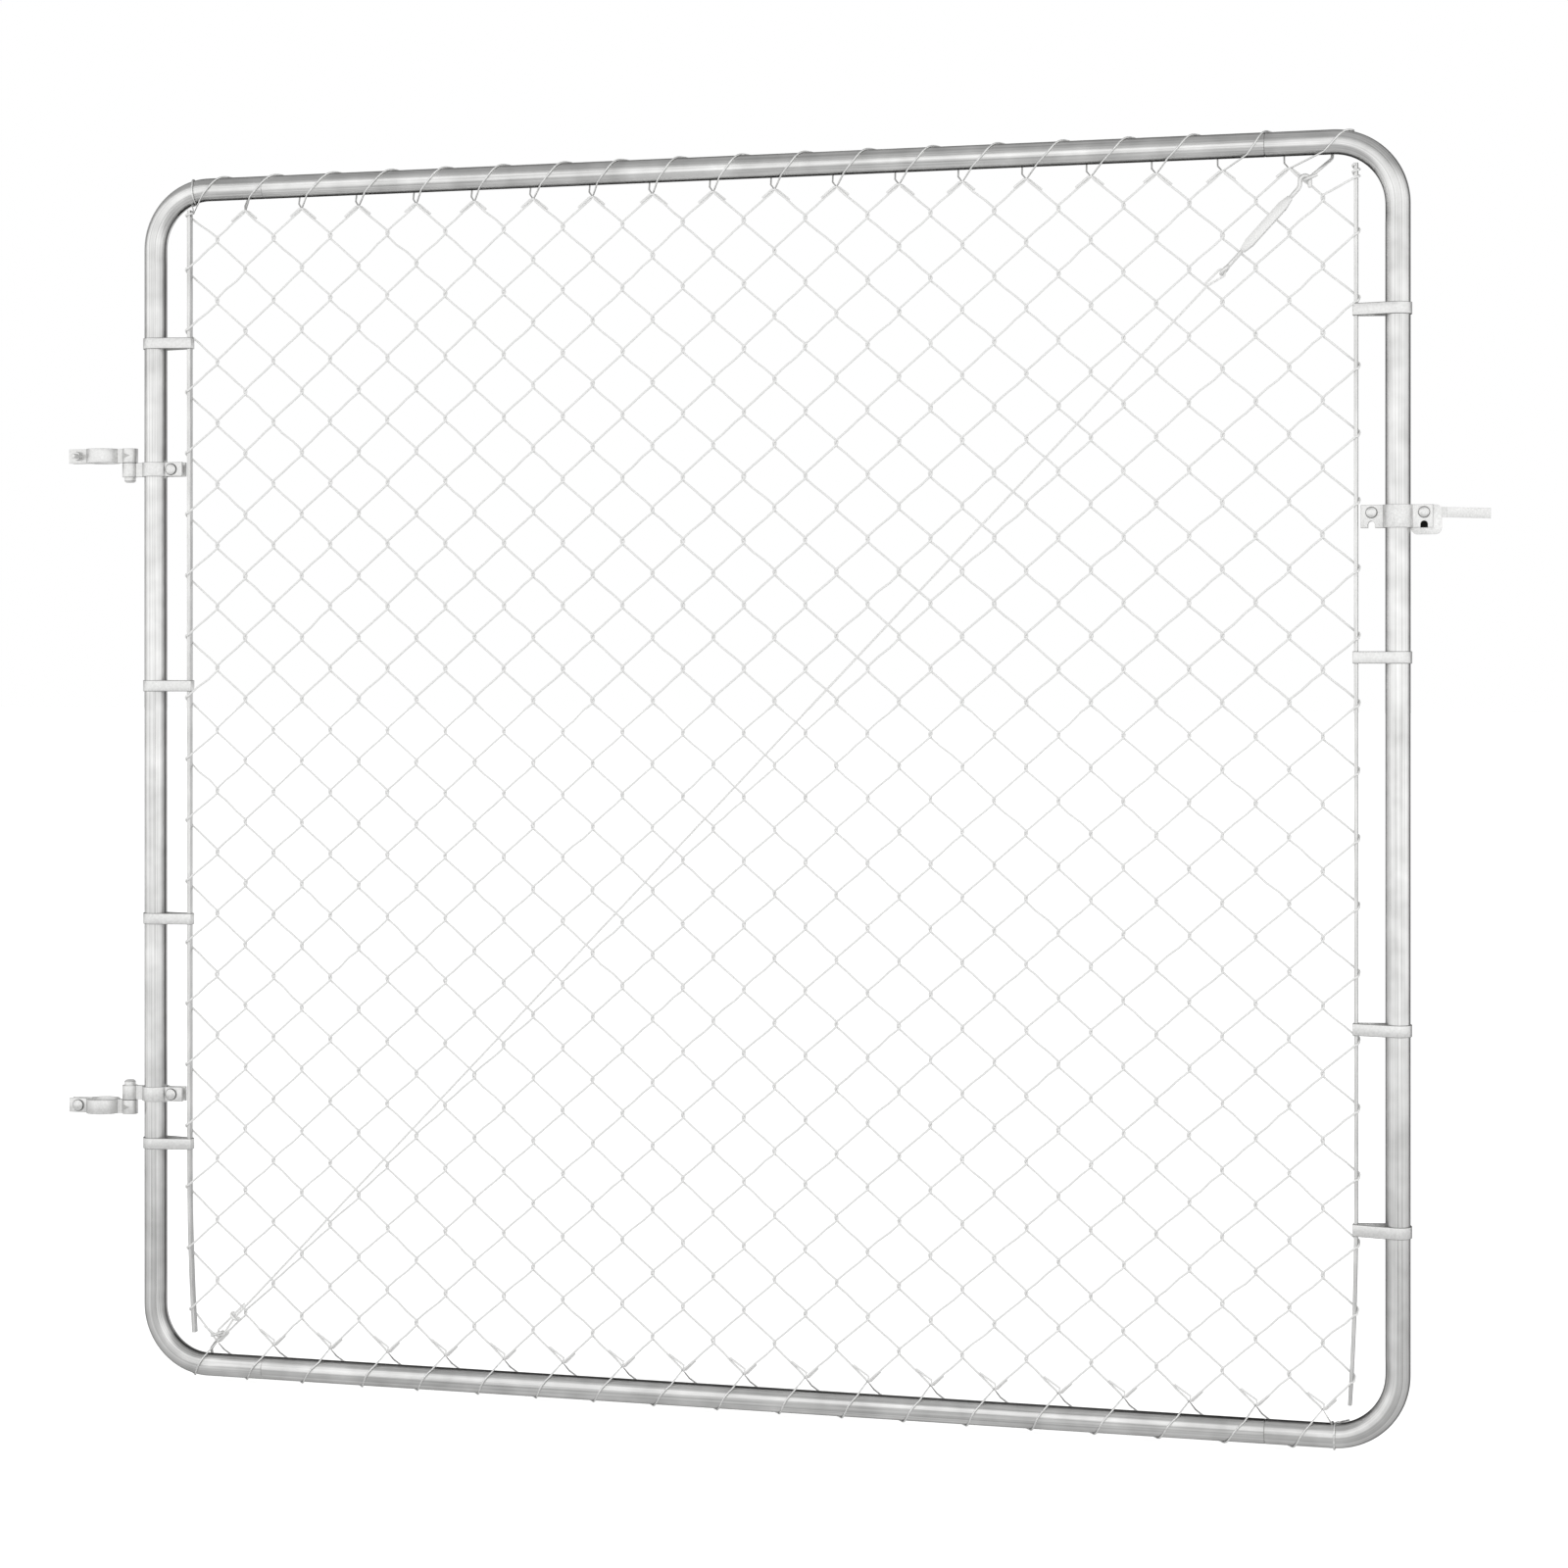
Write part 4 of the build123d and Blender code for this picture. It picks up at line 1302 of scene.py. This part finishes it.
# Studio light: an even pale room, which the camera sees as white and mirror-like surfaces
# see darker overhead, one large soft lamp at the front right and a weaker one at the left.
room = 0.72
mirrored_low = 0.75
mirrored_high = 0.5
world = bpy.data.worlds.new("studio")
scene.world = world
world.use_nodes = True
tree = world.node_tree
tree.nodes.clear()
where = add_node(tree, "ShaderNodeTexCoord")
height = add_node(tree, "ShaderNodeSeparateXYZ", {}, {"Vector": where.outputs["Generated"]})
ceiling = add_node(
    tree,
    "ShaderNodeMapRange",
    {"From Min": 0.0, "From Max": 0.3, "To Min": mirrored_low, "To Max": mirrored_high},
    {"Value": height.outputs["Z"]},
)
mirrored = seen_by(tree, ("Is Glossy Ray", "Is Transmission Ray"))
around = add_node(
    tree, "ShaderNodeMapRange", {"To Min": room}, {"Value": mirrored, "To Max": ceiling}
)
strength = add_node(
    tree,
    "ShaderNodeMapRange",
    {"To Max": 1.0},
    {"Value": seen_by(tree, ("Is Camera Ray",)), "To Min": around},
)
sky = add_node(tree, "ShaderNodeBackground", {"Color": (1, 1, 1, 1)}, {"Strength": strength})
add_node(tree, "ShaderNodeOutputWorld", {}, {"Surface": sky})


def soft_lamp(name, place, target, size, power):
    data = bpy.data.lights.new(name, "AREA")
    data.shape = "RECTANGLE"
    data.size, data.size_y = size
    data.energy = power
    lamp = placed(name, data)
    lamp.location = place
    aim = Vector(target) - Vector(place)
    lamp.rotation_euler = aim.to_track_quat("-Z", "Y").to_euler()


gate_middle = (0.9, 0, 0.5)
soft_lamp("key_lamp", (3.4, -4.8, 2.1), gate_middle, (3.4, 3.0), 60)
soft_lamp("fill_lamp", (-2.8, -4.6, 1.4), gate_middle, (3.0, 3.0), 32)

# Studio cards: cards that only a mirror-like surface sees. A bright curved panel stands in
# front and gives each tube one soft highlight, and a grey one lies on the floor. Dark ones
# line the inside of the frame and grey ones its outside, which gives each tube darker edges.
corner_steps = 12
# Heights of the stops above and below each hinge strap, where the frame's lining is open
strap_stops = (0.018, 0.043, 0.899, 0.924)


def card(name, vertices, faces, level):
    made, tree = stage_sheet(name, vertices, faces, name + " paper")
    even = add_node(tree, "ShaderNodeEmission", {"Strength": level})
    add_node(tree, "ShaderNodeOutputMaterial", {}, {"Surface": even})
    made.visible_camera = False
    made.visible_diffuse = False
    made.visible_transmission = False
    made.visible_shadow = False


def outline(inset, corner):
    """Rectangle with round corners, at a distance inside the frame's centre line, and then
    the stops at the hinge straps"""
    spots = []
    for turn, (way_x, way_z) in enumerate([(1, -1), (-1, -1), (-1, 1), (1, 1)]):
        x = (left_x if way_x == 1 else right_x) + way_x * (inset + corner)
        z = (bottom_z if way_z == 1 else top_z) + way_z * (inset + corner)
        for step in range(corner_steps + 1):
            angle = math.pi / 2 * (turn + step / corner_steps)
            spots.append((x - math.cos(angle) * corner, 0, z + math.sin(angle) * corner))
    return spots + [(left_x + inset, 0, z) for z in strap_stops]


def lining(name, near, far, level, strips):
    """A card between two distances inside the frame's centre line, of some of its strips"""
    spots = outline(near, bend_radius - near) + outline(far, bend_radius - far)
    count = len(spots) // 2
    faces = [(i, (i + 1) % count, count + (i + 1) % count, count + i) for i in strips]
    card(name, spots, faces, level)


def arc(radius, z, first, last, steps):
    """Level arc about the gate's middle. Angles are taken from the front, to the right"""
    spots = []
    for step in range(steps + 1):
        angle = math.radians(first + (last - first) * step / steps)
        x = (left_x + right_x) / 2 + radius * math.sin(angle)
        spots.append((x, -radius * math.cos(angle), z))
    return spots


disc = arc(3.5, floor_z + 0.5 * MM, 0, 357, 119)
card("floor_card", disc, [tuple(range(len(disc)))], 0.66)
panel_steps = 36
panel_spots = arc(2.5, 0.1, -85, 100, panel_steps) + arc(2.5, 2.3, -85, 100, panel_steps)
rise = panel_steps + 1
panel = [(i, i + 1, i + 1 + rise, i + rise) for i in range(panel_steps)]
card("front_panel", panel_spots, panel, 1.22)
# Strips of the outline: those along the rails with half of each bend, and those at the sides
rail_strips = list(range(6, 20)) + list(range(32, 46))
side_strips = list(range(6)) + list(range(20, 32)) + list(range(46, 52)) + [53, 55]
lining("rail_lining", tube_radius, tube_radius + 14 * MM, 0.0, rail_strips)
lining("side_lining", tube_radius, tube_radius + 10 * MM, 0.14, side_strips)
lining("outer_lining", -tube_radius, -tube_radius - 11 * MM, 0.2, rail_strips + side_strips)
